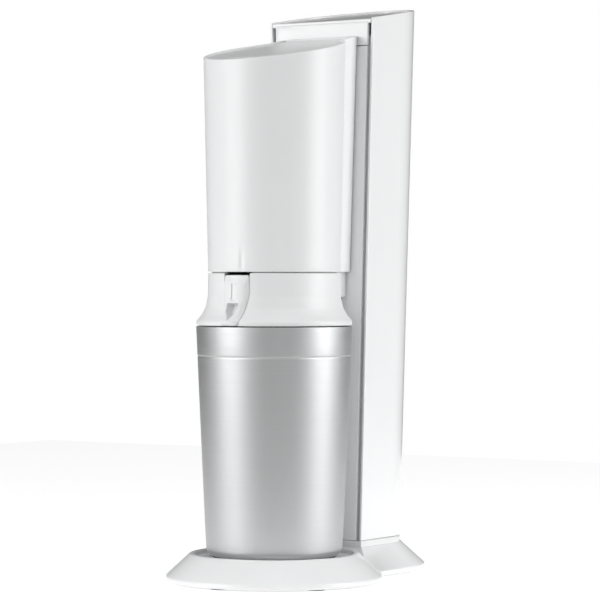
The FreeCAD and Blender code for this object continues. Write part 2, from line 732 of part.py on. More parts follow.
def make_press_plate():
    gap = head_wall + 0.5
    high = rim_back + 20
    low = head_front_height - 30
    form = head_round(low, high, -gap)
    rear = bridge_solid(low, high, -gap, head_back - head_wall - 1.2)
    form = form.fuse(rear).cut(head_above(plate_drop))
    under = head_above(plate_drop + plate_thickness)
    plate = form.common(under)
    hinge_y, hinge_z = plate_hinge()
    half = bridge_half(hinge_z) - gap
    knuckles = []
    for side in (-1, 1):
        x0, x1 = sorted((side * (half - 7), side * half))
        barrel = bar(x0, x1, hinge_y, hinge_z, 3.2)
        web = box(x0, x1, hinge_y - 3, hinge_y + 3, hinge_z, hinge_z + 4)
        knuckles.append(barrel.fuse(web))
    foot_z = hinge_z - 5
    post = box(lever_x - 4, lever_x + 4, push_rod_y() - 5, push_rod_y() + 5, foot_z - 3, foot_z + 8)
    plate = plate.fuse(knuckles + [post.cut(head_above(plate_drop + 1))])
    plate = plate.cut(bar(-60, 60, hinge_y, hinge_z, pin_radius + running_clearance))
    write("press_plate", plate.removeSplitter())
    write("plate_pin", bar(-half - 2, half + 2, hinge_y, hinge_z, pin_radius))
    push_top = foot_z - 3 - link_gap
    lever_top = lever_pivot_z + lever_thickness / 2
    shaft = rod(lever_x, push_rod_y(), lever_top + link_gap, push_top, push_rod_radius)
    write("push_rod", shaft)
    rise = head_slope * (spring_place() - can_y + head_top_radius)
    spring_top = head_front_height + rise - plate_drop - plate_thickness
    write("plate_spring", tube(0, spring_place(), tray_height() + 3, spring_top - 1.2, 6.0, 4.8))


def spring_place():
    return can_y - drum_radius + 14


def tray_height():
    return head_front_height - 46


def spring_shelf():
    """Half floor inside the head under the plate's return spring."""
    tray = tray_height()
    shelf = rod(0, can_y, tray, tray + 3, drum_radius - head_wall / 2)
    return shelf.cut(box(-100, 100, can_y - 10, can_y + 100, tray - 1, tray + 4))


def push_rod_guide():
    """Bushed cross web inside the head that keeps the push rod upright."""
    low = head_front_height - 34
    web = box(-drum_radius, drum_radius, push_rod_y() - 3, push_rod_y() + 3, low, low + 5)
    web = web.common(rod(0, can_y, low - 1, low + 9, drum_radius - head_wall / 2))
    guide = web.fuse(rod(lever_x, push_rod_y(), low, low + 12, push_rod_radius + 4))
    return guide.cut(rod(lever_x, push_rod_y(), low - 1, low + 13, push_rod_radius + running_clearance))


def make_transfer_lever():
    t = lever_thickness / 2
    x0, x1 = lever_x - t, lever_x + t
    crank = can_y + drum_radius + 3
    tip = pull_y + 0.5
    top = lever_pivot_z + t
    front = bar(x0, x1, lever_pivot_y, lever_pivot_z, 4.0)
    beam = box(x0, x1, lever_pivot_y, crank + 5, lever_pivot_z - t, top)
    leg = box(x0, x1, crank, crank + 5, lever_z - 4, top)
    rear = box(x0, x1, crank, tip, lever_z - 4, lever_z + 2)
    lever = front.fuse([beam, leg, rear])
    lever = lever.cut(bar(x0 - 5, x1 + 5, lever_pivot_y, lever_pivot_z, pin_radius + running_clearance))
    write("transfer_lever", lever.removeSplitter())
    write("transfer_lever_pin", bar(lever_x - 7.1, lever_x + 7.1, lever_pivot_y, lever_pivot_z, pin_radius))


def make_nozzle():
    deck_top = deck_height + deck_thickness
    holder = revolve([(2.5, deck_height - 1), (6.9, deck_height - 1), (6.9, deck_top), (9.5, deck_top),
                      (9.5, deck_top + 8), (7.0, deck_top + 11), (2.5, deck_top + 11)], 0, can_y)
    write("nozzle_holder", holder)
    nozzle_low = carafe_bottom() + 118
    write("nozzle_tube", tube(0, can_y, nozzle_low + 8, deck_height - 1, 3.2, 1.6))
    tip = revolve([(1.6, nozzle_low + 8), (4.6, nozzle_low + 8), (4.6, nozzle_low + 3),
                   (3.0, nozzle_low), (0.6, nozzle_low), (0.6, nozzle_low + 4), (1.6, nozzle_low + 5)], 0, can_y)
    write("nozzle_tip", tip)
    mouth = carafe_bottom() + carafe_height
    seal = tube(0, can_y, mouth + 0.4, deck_height - 1.2, carafe_mouth_radius + 3, 8.0)
    write("bottle_seal", seal)
    retainer = tube(0, can_y, deck_height - 1.2, deck_height, carafe_mouth_radius + 5, 7.2)
    write("seal_retainer", retainer)
    write("relief_valve", rod(-18, can_y, deck_top, deck_top + 14, 4.5))
    write("gas_pipe", gas_pipe(pipe_height(), 0))


def pipe_height():
    return deck_height + deck_thickness + 5


def gas_pipe(z, outset):
    """Stiff pipe from the carriage up and forward over the deck to the nozzle holder."""
    radius = 1.8 + outset
    x = -9.0
    bend = 6.0
    rise_y = can_y + drum_radius + 6
    low_z = carriage_top - 2
    end_y = can_y + 6.8 - 3 * outset
    points = [V(x, carriage_front, low_z), V(x, rise_y, low_z), V(x, rise_y, z), V(x, end_y, z)]
    edges = []
    start = points[0]
    for i in (1, 2):
        before = (points[i] - points[i - 1]).normalize()
        after = (points[i + 1] - points[i]).normalize()
        a, b = points[i] - before * bend, points[i] + after * bend
        centre = points[i] - before * bend + after * bend
        middle = centre + (points[i] - centre).normalize() * bend
        edges.append(Part.makeLine(start, a))
        edges.append(Part.Arc(a, middle, b).toShape())
        start = b
    edges.append(Part.makeLine(start, points[3]))
    ring = Part.Wire([Part.Circle(points[0], V(0, -1, 0), radius).toShape()])
    return Part.Wire(edges).makePipeShell([ring], True, False)


def make_carriage():
    y0, y1 = carriage_front, carriage_front + carriage_plate
    z0, z1 = carriage_bottom, carriage_top
    plate = box(-rod_x, rod_x, y0, y1, z0, z1)
    neck = box(-slot_half + 2.5, slot_half - 2.5, head_back, y0, z0 + 6, z1 - 4)
    carriage = plate.fuse(neck)
    bore = rod_radius + running_clearance + bush_wall
    for side in (-1, 1):
        carriage = carriage.fuse(rod(side * rod_x, rod_y, z0, z1, housing_radius))
    for side, name in ((-1, "left"), (1, "right")):
        x = side * rod_x
        carriage = carriage.cut(rod(x, rod_y, z0 - 1, z1 + 1, rod_radius + 0.5))
        bushes = []
        for low in (z0, z1 - bush_length):
            carriage = carriage.cut(rod(x, rod_y, low - 0.01, low + bush_length + 0.01, bore))
            bushes.append(tube(x, rod_y, low, low + bush_length, bore, rod_radius + running_clearance))
        write("bushes_" + name, Part.makeCompound(bushes))
    carriage = carriage.cut(rod(hose_short.x, hose_short.y, z0 - 1, z0 + 1, 1.0))
    elbow = box(hose_short.x - 3, hose_short.x + 3, hose_short.y - 3, hose_short.y + 2.5, z0 - 3, z0)
    carriage = carriage.fuse(elbow)
    screws = []
    for x, z in head_screw_places():
        hole = Part.makeCylinder(pin_radius, 30, V(x, head_back - 6, z), V(0, 1, 0))
        carriage = carriage.cut(hole)
        head = Part.makeCylinder(3.0, 2.0, V(x, head_back - head_wall - 2.0, z), V(0, 1, 0))
        shank = Part.makeCylinder(pin_radius, head_wall + 6, V(x, head_back - head_wall, z), V(0, 1, 0))
        screws.append(head.fuse(shank))
    write("carriage", carriage.removeSplitter())
    write("carriage_screws", Part.makeCompound(screws))


def make_latch():
    outer = revolve(collar_profile(), 0, can_y)
    tab = outer.common(latch_outline(0, 22))
    pivot_y, pivot_z = latch_pivot()
    half = latch_half_top - 1.0
    barrel = bar(-half, half, pivot_y, pivot_z, 2.4)
    tab = tab.fuse(barrel)
    notch = Part.makeCylinder(7.0, 30, V(0, can_y - canister_top_radius - 4, collar_bottom + 4), V(0, 1, 0))
    hollow = notch.common(box(-4.2, 4.2, can_y - 90, can_y - 51.5, collar_bottom + 2, collar_bottom + 15))
    tab = tab.cut(hollow)
    tab = tab.cut(bar(-30, 30, pivot_y, pivot_z, latch_pin_radius + running_clearance))
    write("latch_lever", tab.removeSplitter())
    write("latch_pin", bar(-latch_pin_half, latch_pin_half, pivot_y, pivot_z, latch_pin_radius))

    radius, claw_z = claw_places()
    pins = []
    for name, side in (("left", -1), ("right", 1)):
        x0, x1 = sorted((side * (radius - 1.2), side * (radius + 1.2)))
        low = groove_height - 6.5
        claw = box(x0, x1, can_y - 6, can_y + 6, low, claw_z)
        reach = canister_inner(groove_height) - groove_depth - 0.9
        n0, n1 = sorted((side * (radius - 1.2), side * reach))
        nose = box(n0, n1, can_y - 6, can_y + 6, low, low + 3)
        barrel = Part.makeCylinder(2.6, 12, V(side * radius, can_y - 6, claw_z), V(0, 1, 0))
        claw = claw.fuse([nose, barrel])
        hole = Part.makeCylinder(pin_radius + running_clearance, 40, V(side * radius, can_y - 20, claw_z), V(0, 1, 0))
        limit = rod(0, can_y, 0, 400, reach)
        write("lock_claw_" + name, claw.common(limit).cut(hole).removeSplitter())
        pins.append(Part.makeCylinder(pin_radius, 18, V(side * radius, can_y - 9, claw_z), V(0, 1, 0)))
    write("claw_pins", Part.makeCompound(pins))


def canister_outer(z):
    share = (z - canister_bottom) / canister_height
    return canister_bottom_radius + (canister_top_radius - canister_bottom_radius) * share


def canister_inner(z):
    return canister_outer(z) - canister_wall


def carafe_bottom():
    return canister_bottom + canister_wall + 3.0


def make_canister():
    bottom, top = canister_bottom, canister_bottom + canister_height
    g, h = groove_height, groove_half
    outside = [
        (0, bottom), (canister_outer(bottom) - 3, bottom), (canister_outer(bottom + 3) - 0.2, bottom + 3),
        (canister_outer(g - h), g - h), (canister_outer(g) - groove_depth, g), (canister_outer(g + h), g + h),
        (canister_outer(top), top),
    ]
    inside = [
        (canister_inner(top), top), (canister_inner(g + h), g + h), (canister_inner(g) - groove_depth, g),
        (canister_inner(g - h), g - h), (canister_inner(bottom + 4) - 0.5, bottom + 4),
        (canister_inner(bottom) - 3.5, bottom + canister_wall), (0, bottom + canister_wall),
    ]
    write("steel_canister", smooth_revolve(outside + inside, 0, can_y, 2.5))

    low = carafe_bottom()
    inner_floor = bottom + canister_wall
    pad_reach = canister_inner(bottom + 12) - 1.0
    cushion = revolve([
        (0, inner_floor), (pad_reach - 5, inner_floor), (pad_reach, inner_floor + 5), (pad_reach, inner_floor + 12),
        (carafe_radius + 0.4, inner_floor + 12), (carafe_radius + 0.4, low), (0, low),
    ], 0, can_y)
    write("canister_cushion", cushion)

    r, w, m = carafe_radius, carafe_wall, carafe_mouth_radius
    shoulder = low + 140
    mouth = low + carafe_height
    neck = m - 2.5
    glass = [
        (0, low), (r - 6, low), (r, low + 6), (r, shoulder), (r - 7, shoulder + 30), (neck, shoulder + 78),
        (neck, mouth - 8), (m, mouth - 6), (m, mouth - 1), (m - 1, mouth), (neck - w + 0.5, mouth),
        (neck - w, shoulder + 78), (r - 7 - w, shoulder + 30), (r - w, shoulder), (r - w, low + 8),
        (r - w - 6, low + w + 1), (0, low + w + 1),
    ]
    write("glass_carafe", smooth_revolve(glass, 0, can_y, 9.0))


def main():
    make_base()
    make_chassis()
    make_panels()
    make_rear_cover()
    make_cylinder()
    arm_top, lever_pivot, lever_height = make_valve_block()
    make_pull_rod(arm_top)
    make_hose()
    make_head_body()
    make_front_cover()
    make_press_plate()
    make_transfer_lever()
    make_nozzle()
    make_carriage()
    make_latch()
    make_canister()
    print("valve lever pivot", lever_pivot, lever_height)
    print("transfer lever pivot", lever_pivot_y, lever_pivot_z)
    print("plate hinge", plate_hinge())
    print("latch pivot", latch_pivot())
    print("claws", claw_places(), can_y)
    print("cylinder y", cylinder_y)


main()
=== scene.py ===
import json
import math
import bmesh
import bpy
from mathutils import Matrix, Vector

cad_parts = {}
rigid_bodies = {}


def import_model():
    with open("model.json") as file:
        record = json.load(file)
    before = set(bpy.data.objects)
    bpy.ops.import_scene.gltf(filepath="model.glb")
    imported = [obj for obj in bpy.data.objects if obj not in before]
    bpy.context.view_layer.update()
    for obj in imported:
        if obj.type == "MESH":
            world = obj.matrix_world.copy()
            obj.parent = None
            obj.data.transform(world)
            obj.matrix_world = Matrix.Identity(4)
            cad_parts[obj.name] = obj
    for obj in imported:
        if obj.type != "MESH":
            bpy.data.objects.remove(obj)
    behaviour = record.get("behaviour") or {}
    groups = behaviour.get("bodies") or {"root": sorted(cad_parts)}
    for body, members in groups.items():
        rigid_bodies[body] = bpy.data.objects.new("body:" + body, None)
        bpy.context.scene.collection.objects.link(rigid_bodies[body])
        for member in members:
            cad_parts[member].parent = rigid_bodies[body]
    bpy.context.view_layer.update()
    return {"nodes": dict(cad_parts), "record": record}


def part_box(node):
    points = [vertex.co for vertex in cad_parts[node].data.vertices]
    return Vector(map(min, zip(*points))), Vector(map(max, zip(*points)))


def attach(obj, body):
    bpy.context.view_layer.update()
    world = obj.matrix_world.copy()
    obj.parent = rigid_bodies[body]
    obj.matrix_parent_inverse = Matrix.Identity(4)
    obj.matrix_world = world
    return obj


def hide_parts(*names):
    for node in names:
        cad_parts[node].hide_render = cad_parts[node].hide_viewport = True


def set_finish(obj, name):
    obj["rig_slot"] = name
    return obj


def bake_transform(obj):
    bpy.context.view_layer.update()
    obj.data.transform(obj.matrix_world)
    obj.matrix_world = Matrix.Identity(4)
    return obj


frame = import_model()
MM = 0.001


# ---------------------------------------------------------------- sizes, from the frame where it has them
def low(node):
    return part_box(node)[0]


def high(node):
    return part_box(node)[1]


def middle(node):
    """Centre of a node's box."""
    return [(a + b) / 2 for a, b in zip(low(node), high(node))]


AXIS_Y = middle("steel_canister")[1]
CAN_LOW, CAN_HIGH = low("steel_canister")[2], high("steel_canister")[2]
CAN_TOP_R = high("steel_canister")[0]
CAN_BOTTOM_R = CAN_TOP_R - 7.3 * MM
CAN_WALL = 1.0 * MM
GROOVE_Z, GROOVE_DEPTH, GROOVE_HALF = 162.0 * MM, 0.35 * MM, 0.9 * MM
COVER_LOW = low("head_front_cover")[2]
COLLAR_LOW = low("head_body")[2]
TOWER_Y = low("front_panel")[1]
PANEL_BACK = high("front_panel")[1]
HEAD_BACK = TOWER_Y - 0.3 * MM
PLINTH_Z = high("base_shell")[2]
ROUND_Y = TOWER_Y + 40.1 * MM
ROUND_EXTRA = 5.0 * MM
TOWER_TOP_Z = 408.0 * MM
TOWER_SLOPE = 0.15
COVER_WALL = 2.0 * MM
CAP_SEAM = high("front_panel")[2]
HEAD_FRONT_Z, HEAD_SLOPE = 372.7 * MM, 0.2
HEAD_R = 50.9 * MM
HEAD_WALL = 2.4 * MM
DRUM_R = 44.6 * MM
LATCH_TOP, LATCH_FOOT = COVER_LOW - 2.2 * MM, COLLAR_LOW + 0.4 * MM
LATCH_SHOULDER = COLLAR_LOW + 22 * MM
LATCH_HALF, LATCH_TIP, LATCH_FLARE = 10.5 * MM, 7.0 * MM, 3.5 * MM
LATCH_GAP = 0.22 * MM
RIM_BACK_Z = HEAD_FRONT_Z + HEAD_SLOPE * (HEAD_BACK - AXIS_Y + HEAD_R)
FOOT_R = high("base_shell")[0]
FOOT_LOW = low("base_shell")[2]
FOOT_BACK = high("base_shell")[1]

# camera and light: angles in degrees, lens in millimetres
CAMERA_AZIMUTH, CAMERA_DISTANCE, CAMERA_HEIGHT = 34.6, 2.109, 0.222
CAMERA_LENS, CAMERA_SHIFT = 175.7, (0.0428, -0.0458)
# FLOOR_GLOW is the strength of the glow painted into the floor's emission around the foot
AMBIENT, BEHIND, OVERHEAD, FLOOR_GLOW = 0.20, 0.02, 0.32, 0.74
LEFT_POWER, RIGHT_POWER, TOP_POWER, FRONT_POWER = 19.0, 20.5, 1.5, 3.0
FLOOR_REACH = 1.25
METAL_GRAIN = 60.0


# ---------------------------------------------------------------- mesh helpers
def make_object(name, verts, faces, smooth_deg=40):
    mesh = bpy.data.meshes.new(name)
    mesh.from_pydata([tuple(v) for v in verts], [], faces)
    work = bmesh.new()
    work.from_mesh(mesh)
    bmesh.ops.remove_doubles(work, verts=work.verts, dist=1e-6)
    bmesh.ops.recalc_face_normals(work, faces=work.faces)
    work.to_mesh(mesh)
    work.free()
    obj = bpy.data.objects.new(name, mesh)
    bpy.context.scene.collection.objects.link(obj)
    shade(obj, smooth_deg)
    return obj


def shade(obj, smooth_deg=40):
    mesh = obj.data
    for face in mesh.polygons:
        face.use_smooth = True
    work = bmesh.new()
    work.from_mesh(mesh)
    limit = math.radians(smooth_deg)
    for edge in work.edges:
        edge.smooth = len(edge.link_faces) == 2 and edge.calc_face_angle(0) < limit
    work.to_mesh(mesh)
    work.free()


def apply_modifiers(obj):
    graph = bpy.context.evaluated_depsgraph_get()
    mesh = bpy.data.meshes.new_from_object(obj.evaluated_get(graph))
    obj.modifiers.clear()
    obj.data = mesh


def bevel(obj, width, segments=3, angle=35):
    mod = obj.modifiers.new("bevel", "BEVEL")
    mod.width = width
    mod.segments = segments
    mod.limit_method = "ANGLE"
    mod.angle_limit = math.radians(angle)
    apply_modifiers(obj)
    shade(obj)
    return obj


def cut(obj, *cutters, union=False):
    for cutter in cutters:
        mod = obj.modifiers.new("cut", "BOOLEAN")
        mod.operation = "UNION" if union else "DIFFERENCE"
        mod.solver = "EXACT"
        mod.object = cutter
        apply_modifiers(obj)
        bpy.data.objects.remove(cutter, do_unlink=True)
    shade(obj)
    return obj


def joined(name, parts):
    verts, faces = [], []
    for part in parts:
        start = len(verts)
        verts += [v.co.copy() for v in part.data.vertices]
        faces += [[start + i for i in f.vertices] for f in part.data.polygons]
        bpy.data.objects.remove(part, do_unlink=True)
    return make_object(name, verts, faces)


def rounded(points, radius, steps=5):
    """A closed outline with every corner turned into a curve where it has room."""
    result = []
    count = len(points)
    for i in range(count):
        before, corner, after = (Vector(points[k % count]) for k in (i - 1, i, i + 1))
        a, b = before - corner, after - corner
        r = radius[i] if isinstance(radius, (list, tuple)) else radius
        reach = min(r, 0.45 * a.length, 0.45 * b.length)
        if reach < 1e-6 or a.angle(b) > math.radians(177):
            result.append(corner)
            continue
        p, q = corner + a.normalized() * reach, corner + b.normalized() * reach
        for k in range(steps + 1):
            t = k / steps
            result.append(p * (1 - t) ** 2 + corner * 2 * t * (1 - t) + q * t * t)
    return result


def lathe(name, profile, radius=0.0, x=0.0, y=None, segments=160):
    """Closed solid of revolution about a vertical line, its section given as (radius, height)."""
    y = AXIS_Y if y is None else y
    radii = [0.0 if r < 1e-7 else radius for r, z in profile]
    section = rounded([(r, z, 0) for r, z in profile], radii)
    verts, faces = [], []
    count = len(section)
    for s in range(segments):
        a = 2 * math.pi * s / segments
        for p in section:
            verts.append((x + p.x * math.sin(a), y - p.x * math.cos(a), p.y))
    for s in range(segments):
        t = (s + 1) % segments
        for i in range(count):
            j = (i + 1) % count
            if section[i].x > 1e-7 or section[j].x > 1e-7:
                faces.append([s * count + i, s * count + j, t * count + j, t * count + i])
    return make_object(name, verts, faces, 35)


def skin(name, rings):
    """Closed skin over equal closed rings of points."""
    verts, faces = [], []
    count = len(rings[0])
    for ring in rings:
        verts += ring
    for k in range(len(rings) - 1):
        for i in range(count):
            j = (i + 1) % count
            faces.append([k * count + i, k * count + j, (k + 1) * count + j, (k + 1) * count + i])
    end = (len(rings) - 1) * count
    faces.append(list(range(count))[::-1])
    faces.append([end + i for i in range(count)])
    return make_object(name, verts, faces)


def block(name, x0, x1, y0, y1, z0, z1, edge=0.0):
    ring = [(x0, y0), (x1, y0), (x1, y1), (x0, y1)]
    obj = skin(name, [[Vector((x, y, z)) for x, y in ring] for z in (z0, z1)])
    return bevel(obj, edge) if edge else obj


def prism(name, outline, direction):
    """A flat outline pushed along a direction."""
    push = Vector(direction)
    return skin(name, [[Vector(p) for p in outline], [Vector(p) + push for p in outline]])


def fall(share, lip):
    """How far a rounded edge is set in at a share of its width from the edge."""
    return lip * (1 - math.sqrt(max(0.0, 1 - (1 - share) ** 2)))


EDGE_SHARES = (0.0, 0.06, 0.22, 0.5, 1.0)


def wall(name, outer, inner, bottom_of, top_of, count=100, levels=12, lip=0.6 * MM, end=0.003):
    """Thin wall between two plans that change with height, rounded along every edge.
    outer(t, z, inset) and inner(t, z, inset) give a point for t from 0 to 1."""
    columns = [(end * s, fall(s, lip)) for s in EDGE_SHARES]
    columns += [(end + (1 - 2 * end) * k / count, 0.0) for k in range(1, count)]
    columns += [(1 - end * s, fall(s, lip)) for s in EDGE_SHARES[::-1]]
    rows = [(0, s) for s in EDGE_SHARES]
    rows += [(1, (k + 1) / (levels + 1)) for k in range(levels)]
    rows += [(2, s) for s in EDGE_SHARES[::-1]]
    rings = []
    for kind, s in rows:
        row_inset = 0.0 if kind == 1 else fall(s, lip)
        ring = []
        for find, order in ((outer, columns), (inner, columns[::-1])):
            for t, column_inset in order:
                inset = max(row_inset, column_inset)
                place = find(t, bottom_of(0.0), inset)
                for _ in range(3):
                    bottom, top = bottom_of(place.y), top_of(place.y)
                    inner_low, inner_high = bottom + lip, top - lip
                    z = (bottom + lip * s, inner_low + (inner_high - inner_low) * s, top - lip * s)[kind]
                    place = find(t, z, inset)
                ring.append(place)
        rings.append(ring)
    verts, faces = [], []
    size = len(rings[0])
    for ring in rings:
        verts += ring
    for k in range(len(rings) - 1):
        for i in range(size):
            j = (i + 1) % size
            faces.append([k * size + i, k * size + j, (k + 1) * size + j, (k + 1) * size + i])
    for k in (0, len(rings) - 1):
        for i in range(len(columns) - 1):
            a = k * size + i
            b = k * size + size - 1 - i
            faces.append([a, a + 1, b - 1, b])
    return make_object(name, verts, faces)


def slab(name, plan, top_of, thickness, lip=0.8 * MM):
    """A plate between two parallel sloping planes.  plan(inset) gives its closed outline."""
    rings = []
    for s in EDGE_SHARES:
        rings.append([Vector((p.x, p.y, top_of(p.y) - thickness + lip * s)) for p in plan(fall(s, lip))])
    for s in EDGE_SHARES[::-1]:
        rings.append([Vector((p.x, p.y, top_of(p.y) - lip * s)) for p in plan(fall(s, lip))])
    return skin(name, rings)


def sweep(name, path, radius, sides=16):
    """A round tube along a list of points."""
    rings = []
    normal = None
    for i, point in enumerate(path):
        ahead = (path[min(i + 1, len(path) - 1)] - path[max(i - 1, 0)]).normalized()
        if normal is None:
            normal = ahead.orthogonal().normalized()
        normal = (normal - ahead * normal.dot(ahead)).normalized()
        side = ahead.cross(normal)
        ring = []
        for k in range(sides):
            a = 2 * math.pi * k / sides
            ring.append(point + (normal * math.cos(a) + side * math.sin(a)) * radius)
        rings.append(ring)
    return skin(name, rings)


def coil(name, x, y, z0, z1, radius, wire, turns):
    """Compression spring with closed end turns, kept between two heights."""
    z0, z1 = z0 + wire, z1 - wire
    total = int(turns * 28)
    path = []
    for k in range(total + 1):
        t = k / total
        a = 2 * math.pi * turns * t
        closed = 1.2 / turns
        if t < closed:
            share = 0.035 * t / closed
        elif t > 1 - closed:
            share = 1 - 0.035 * (1 - t) / closed
        else:
            share = 0.035 + 0.93 * (t - closed) / (1 - 2 * closed)
        path.append(Vector((x + radius * math.cos(a), y + radius * math.sin(a), z0 + (z1 - z0) * share)))
    return sweep(name, path, wire, 10)


# ---------------------------------------------------------------- forms that the pieces share
def tower_half(z):
    return (35.0 + 10.7 * (z - PLINTH_Z) / (TOWER_TOP_Z - PLINTH_Z)) * MM


def tower_top(y):
    return TOWER_TOP_Z + TOWER_SLOPE * (y - TOWER_Y)


def head_top(y):
    return HEAD_FRONT_Z + HEAD_SLOPE * (y - AXIS_Y + HEAD_R)


def head_radius(z):
    return (47.6 + 3.3 * (z / MM - 222.0) / 150.7) * MM


def bridge_half(z):
    return (26.7 + 6.1 * (z / MM - 222.0) / (RIM_BACK_Z / MM - 222.0)) * MM


def tower_point(t, z, inset, front=None):
    half = tower_half(z) - inset
    front = TOWER_Y if front is None else front
    if t < 0.2:
        return Vector((-half, front + (ROUND_Y - front) * t / 0.2, z))
    if t > 0.8:
        return Vector((half, front + (ROUND_Y - front) * (1 - t) / 0.2, z))
    a = math.pi * (1 - (t - 0.2) / 0.6)
    return Vector((half * math.cos(a), ROUND_Y + (half + ROUND_EXTRA) * math.sin(a), z))


def bridge_point(t, z, inset, wall_in=0.0):
    half = bridge_half(z) - inset
    back = HEAD_BACK - inset
    reach = head_radius(z) - HEAD_WALL
    start = AXIS_Y + math.sqrt(max(reach ** 2 - half ** 2, 1e-6))
    corner = max(3.0 * MM - wall_in, 0.5 * MM)
    mirror = 1 if t > 0.5 else -1
    u = min(t, 1 - t)
    if u < 0.34:
        return Vector((mirror * half, start + (back - corner - start) * u / 0.34, z))
    if u < 0.40:
        a = (u - 0.34) / 0.06 * math.pi / 2
        x = mirror * (half - corner + corner * math.cos(a))
        return Vector((x, back - corner + corner * math.sin(a), z))
    return Vector((mirror * (half - corner) * (0.5 - u) / 0.10, back, z))


def bridge_inner(t, z, inset):
    return bridge_point(t, z, HEAD_WALL - inset, HEAD_WALL)


def cover_point(t, z, inset):
    gap = math.asin((bridge_half(z) + 0.3 * MM) / head_radius(z))
    a = (2 * t - 1) * (math.pi - gap)
    across = abs(a - math.radians(5.5)) * HEAD_R
    along = min(z - COVER_LOW, COVER_LOW + 16 * MM - z)
    relief = 0.45 * MM * max(0.0, 1 - (across / (2.4 * MM)) ** 2) * min(1.0, max(0.0, along / (3 * MM)))
    r = head_radius(z) - inset - relief
    return Vector((r * math.sin(a), AXIS_Y - r * math.cos(a), z))


def cover_inner(t, z, inset):
    return cover_point(t, z, HEAD_WALL - inset)


def rear_foot_ring(z, half, front, depth, steps=64):
    ring = [Vector((-half, front, z)), Vector((half, front, z))]
    for k in range(steps + 1):
        a = math.pi * k / steps
        ring.append(Vector((half * math.cos(a), ROUND_Y + depth * math.sin(a), z)))
    return ring


# ---------------------------------------------------------------- foot
def foot_form(name, inset, drop):
    lip = FOOT_LOW + 3.5 * MM
    base = FOOT_LOW - (1 * MM if inset else 0)
    top = 20.4 * MM - drop
    front = lathe(name, [
        (0, base), (FOOT_R - inset - 0.6 * MM, base), (FOOT_R - inset, base + 0.8 * MM),
        (FOOT_R - inset, lip), (60.8 * MM - inset, top), (0, top),
    ], 1.4 * MM)
    half, deep = 53.0 * MM - inset, FOOT_BACK - ROUND_Y - inset
    face = TOWER_Y - 18.0 * MM + inset
    high_half, high_face = 36.0 * MM - inset, TOWER_Y - 1.0 * MM + inset
    rings = [rear_foot_ring(base, half - 0.6 * MM, face + 0.6 * MM, deep - 0.6 * MM)]
    rings.append(rear_foot_ring(base + 0.8 * MM, half, face, deep))
    rings.append(rear_foot_ring(lip - 0.6 * MM, half, face, deep))
    for s, share in ((0.0, 0.0), (0.012, 0.03), (0.06, 0.08), (0.5, 0.5), (0.94, 0.93), (1.0, 1.0)):
        ring_half = half + (high_half - half) * s
        ring_deep = deep + (high_half + ROUND_EXTRA - deep) * s
        ring_face = face + (high_face - face) * s
        z = lip + (21.2 * MM - drop - lip) * share
        rings.append(rear_foot_ring(z, ring_half, ring_face, ring_deep))
    return cut(front, skin("rear", rings), union=True)


def make_base():
    shell = foot_form("base_foot", 0.0, 0.0)
    half = 35.0 * MM
    rings = []
    steps = ((14 * MM, 0), (PLINTH_Z - 0.8 * MM, 0), (PLINTH_Z - 0.3 * MM, 0.15 * MM), (PLINTH_Z, 0.6 * MM))
    for z, inset in steps:
        rings.append(rear_foot_ring(z, half - inset, TOWER_Y + inset, half + ROUND_EXTRA - inset))
    cut(shell, skin("plinth", rings), union=True)
    cut(shell, foot_form("hollow", 2.5 * MM, 5.4 * MM))
    recess = lathe("recess", [(0, 17.5 * MM), (57.3 * MM, 17.5 * MM), (57.3 * MM, 20.0 * MM),
                              (57.9 * MM, 20.6 * MM), (57.9 * MM, 40 * MM), (0, 40 * MM)], 0.3 * MM)
    well = lathe("well", [(0, 4.6 * MM), (31.5 * MM, 4.6 * MM), (31.5 * MM, 60 * MM), (0, 60 * MM)],
                 y=middle("co2_cylinder")[1])
    cut(shell, recess, well)
    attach(shell, "tower")
    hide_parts("base_shell")
    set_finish(shell, "foot_white")


# ---------------------------------------------------------------- canister, cushion and carafe
def can_radius(z):
    return CAN_BOTTOM_R + (CAN_TOP_R - CAN_BOTTOM_R) * (z - CAN_LOW) / (CAN_HIGH - CAN_LOW)


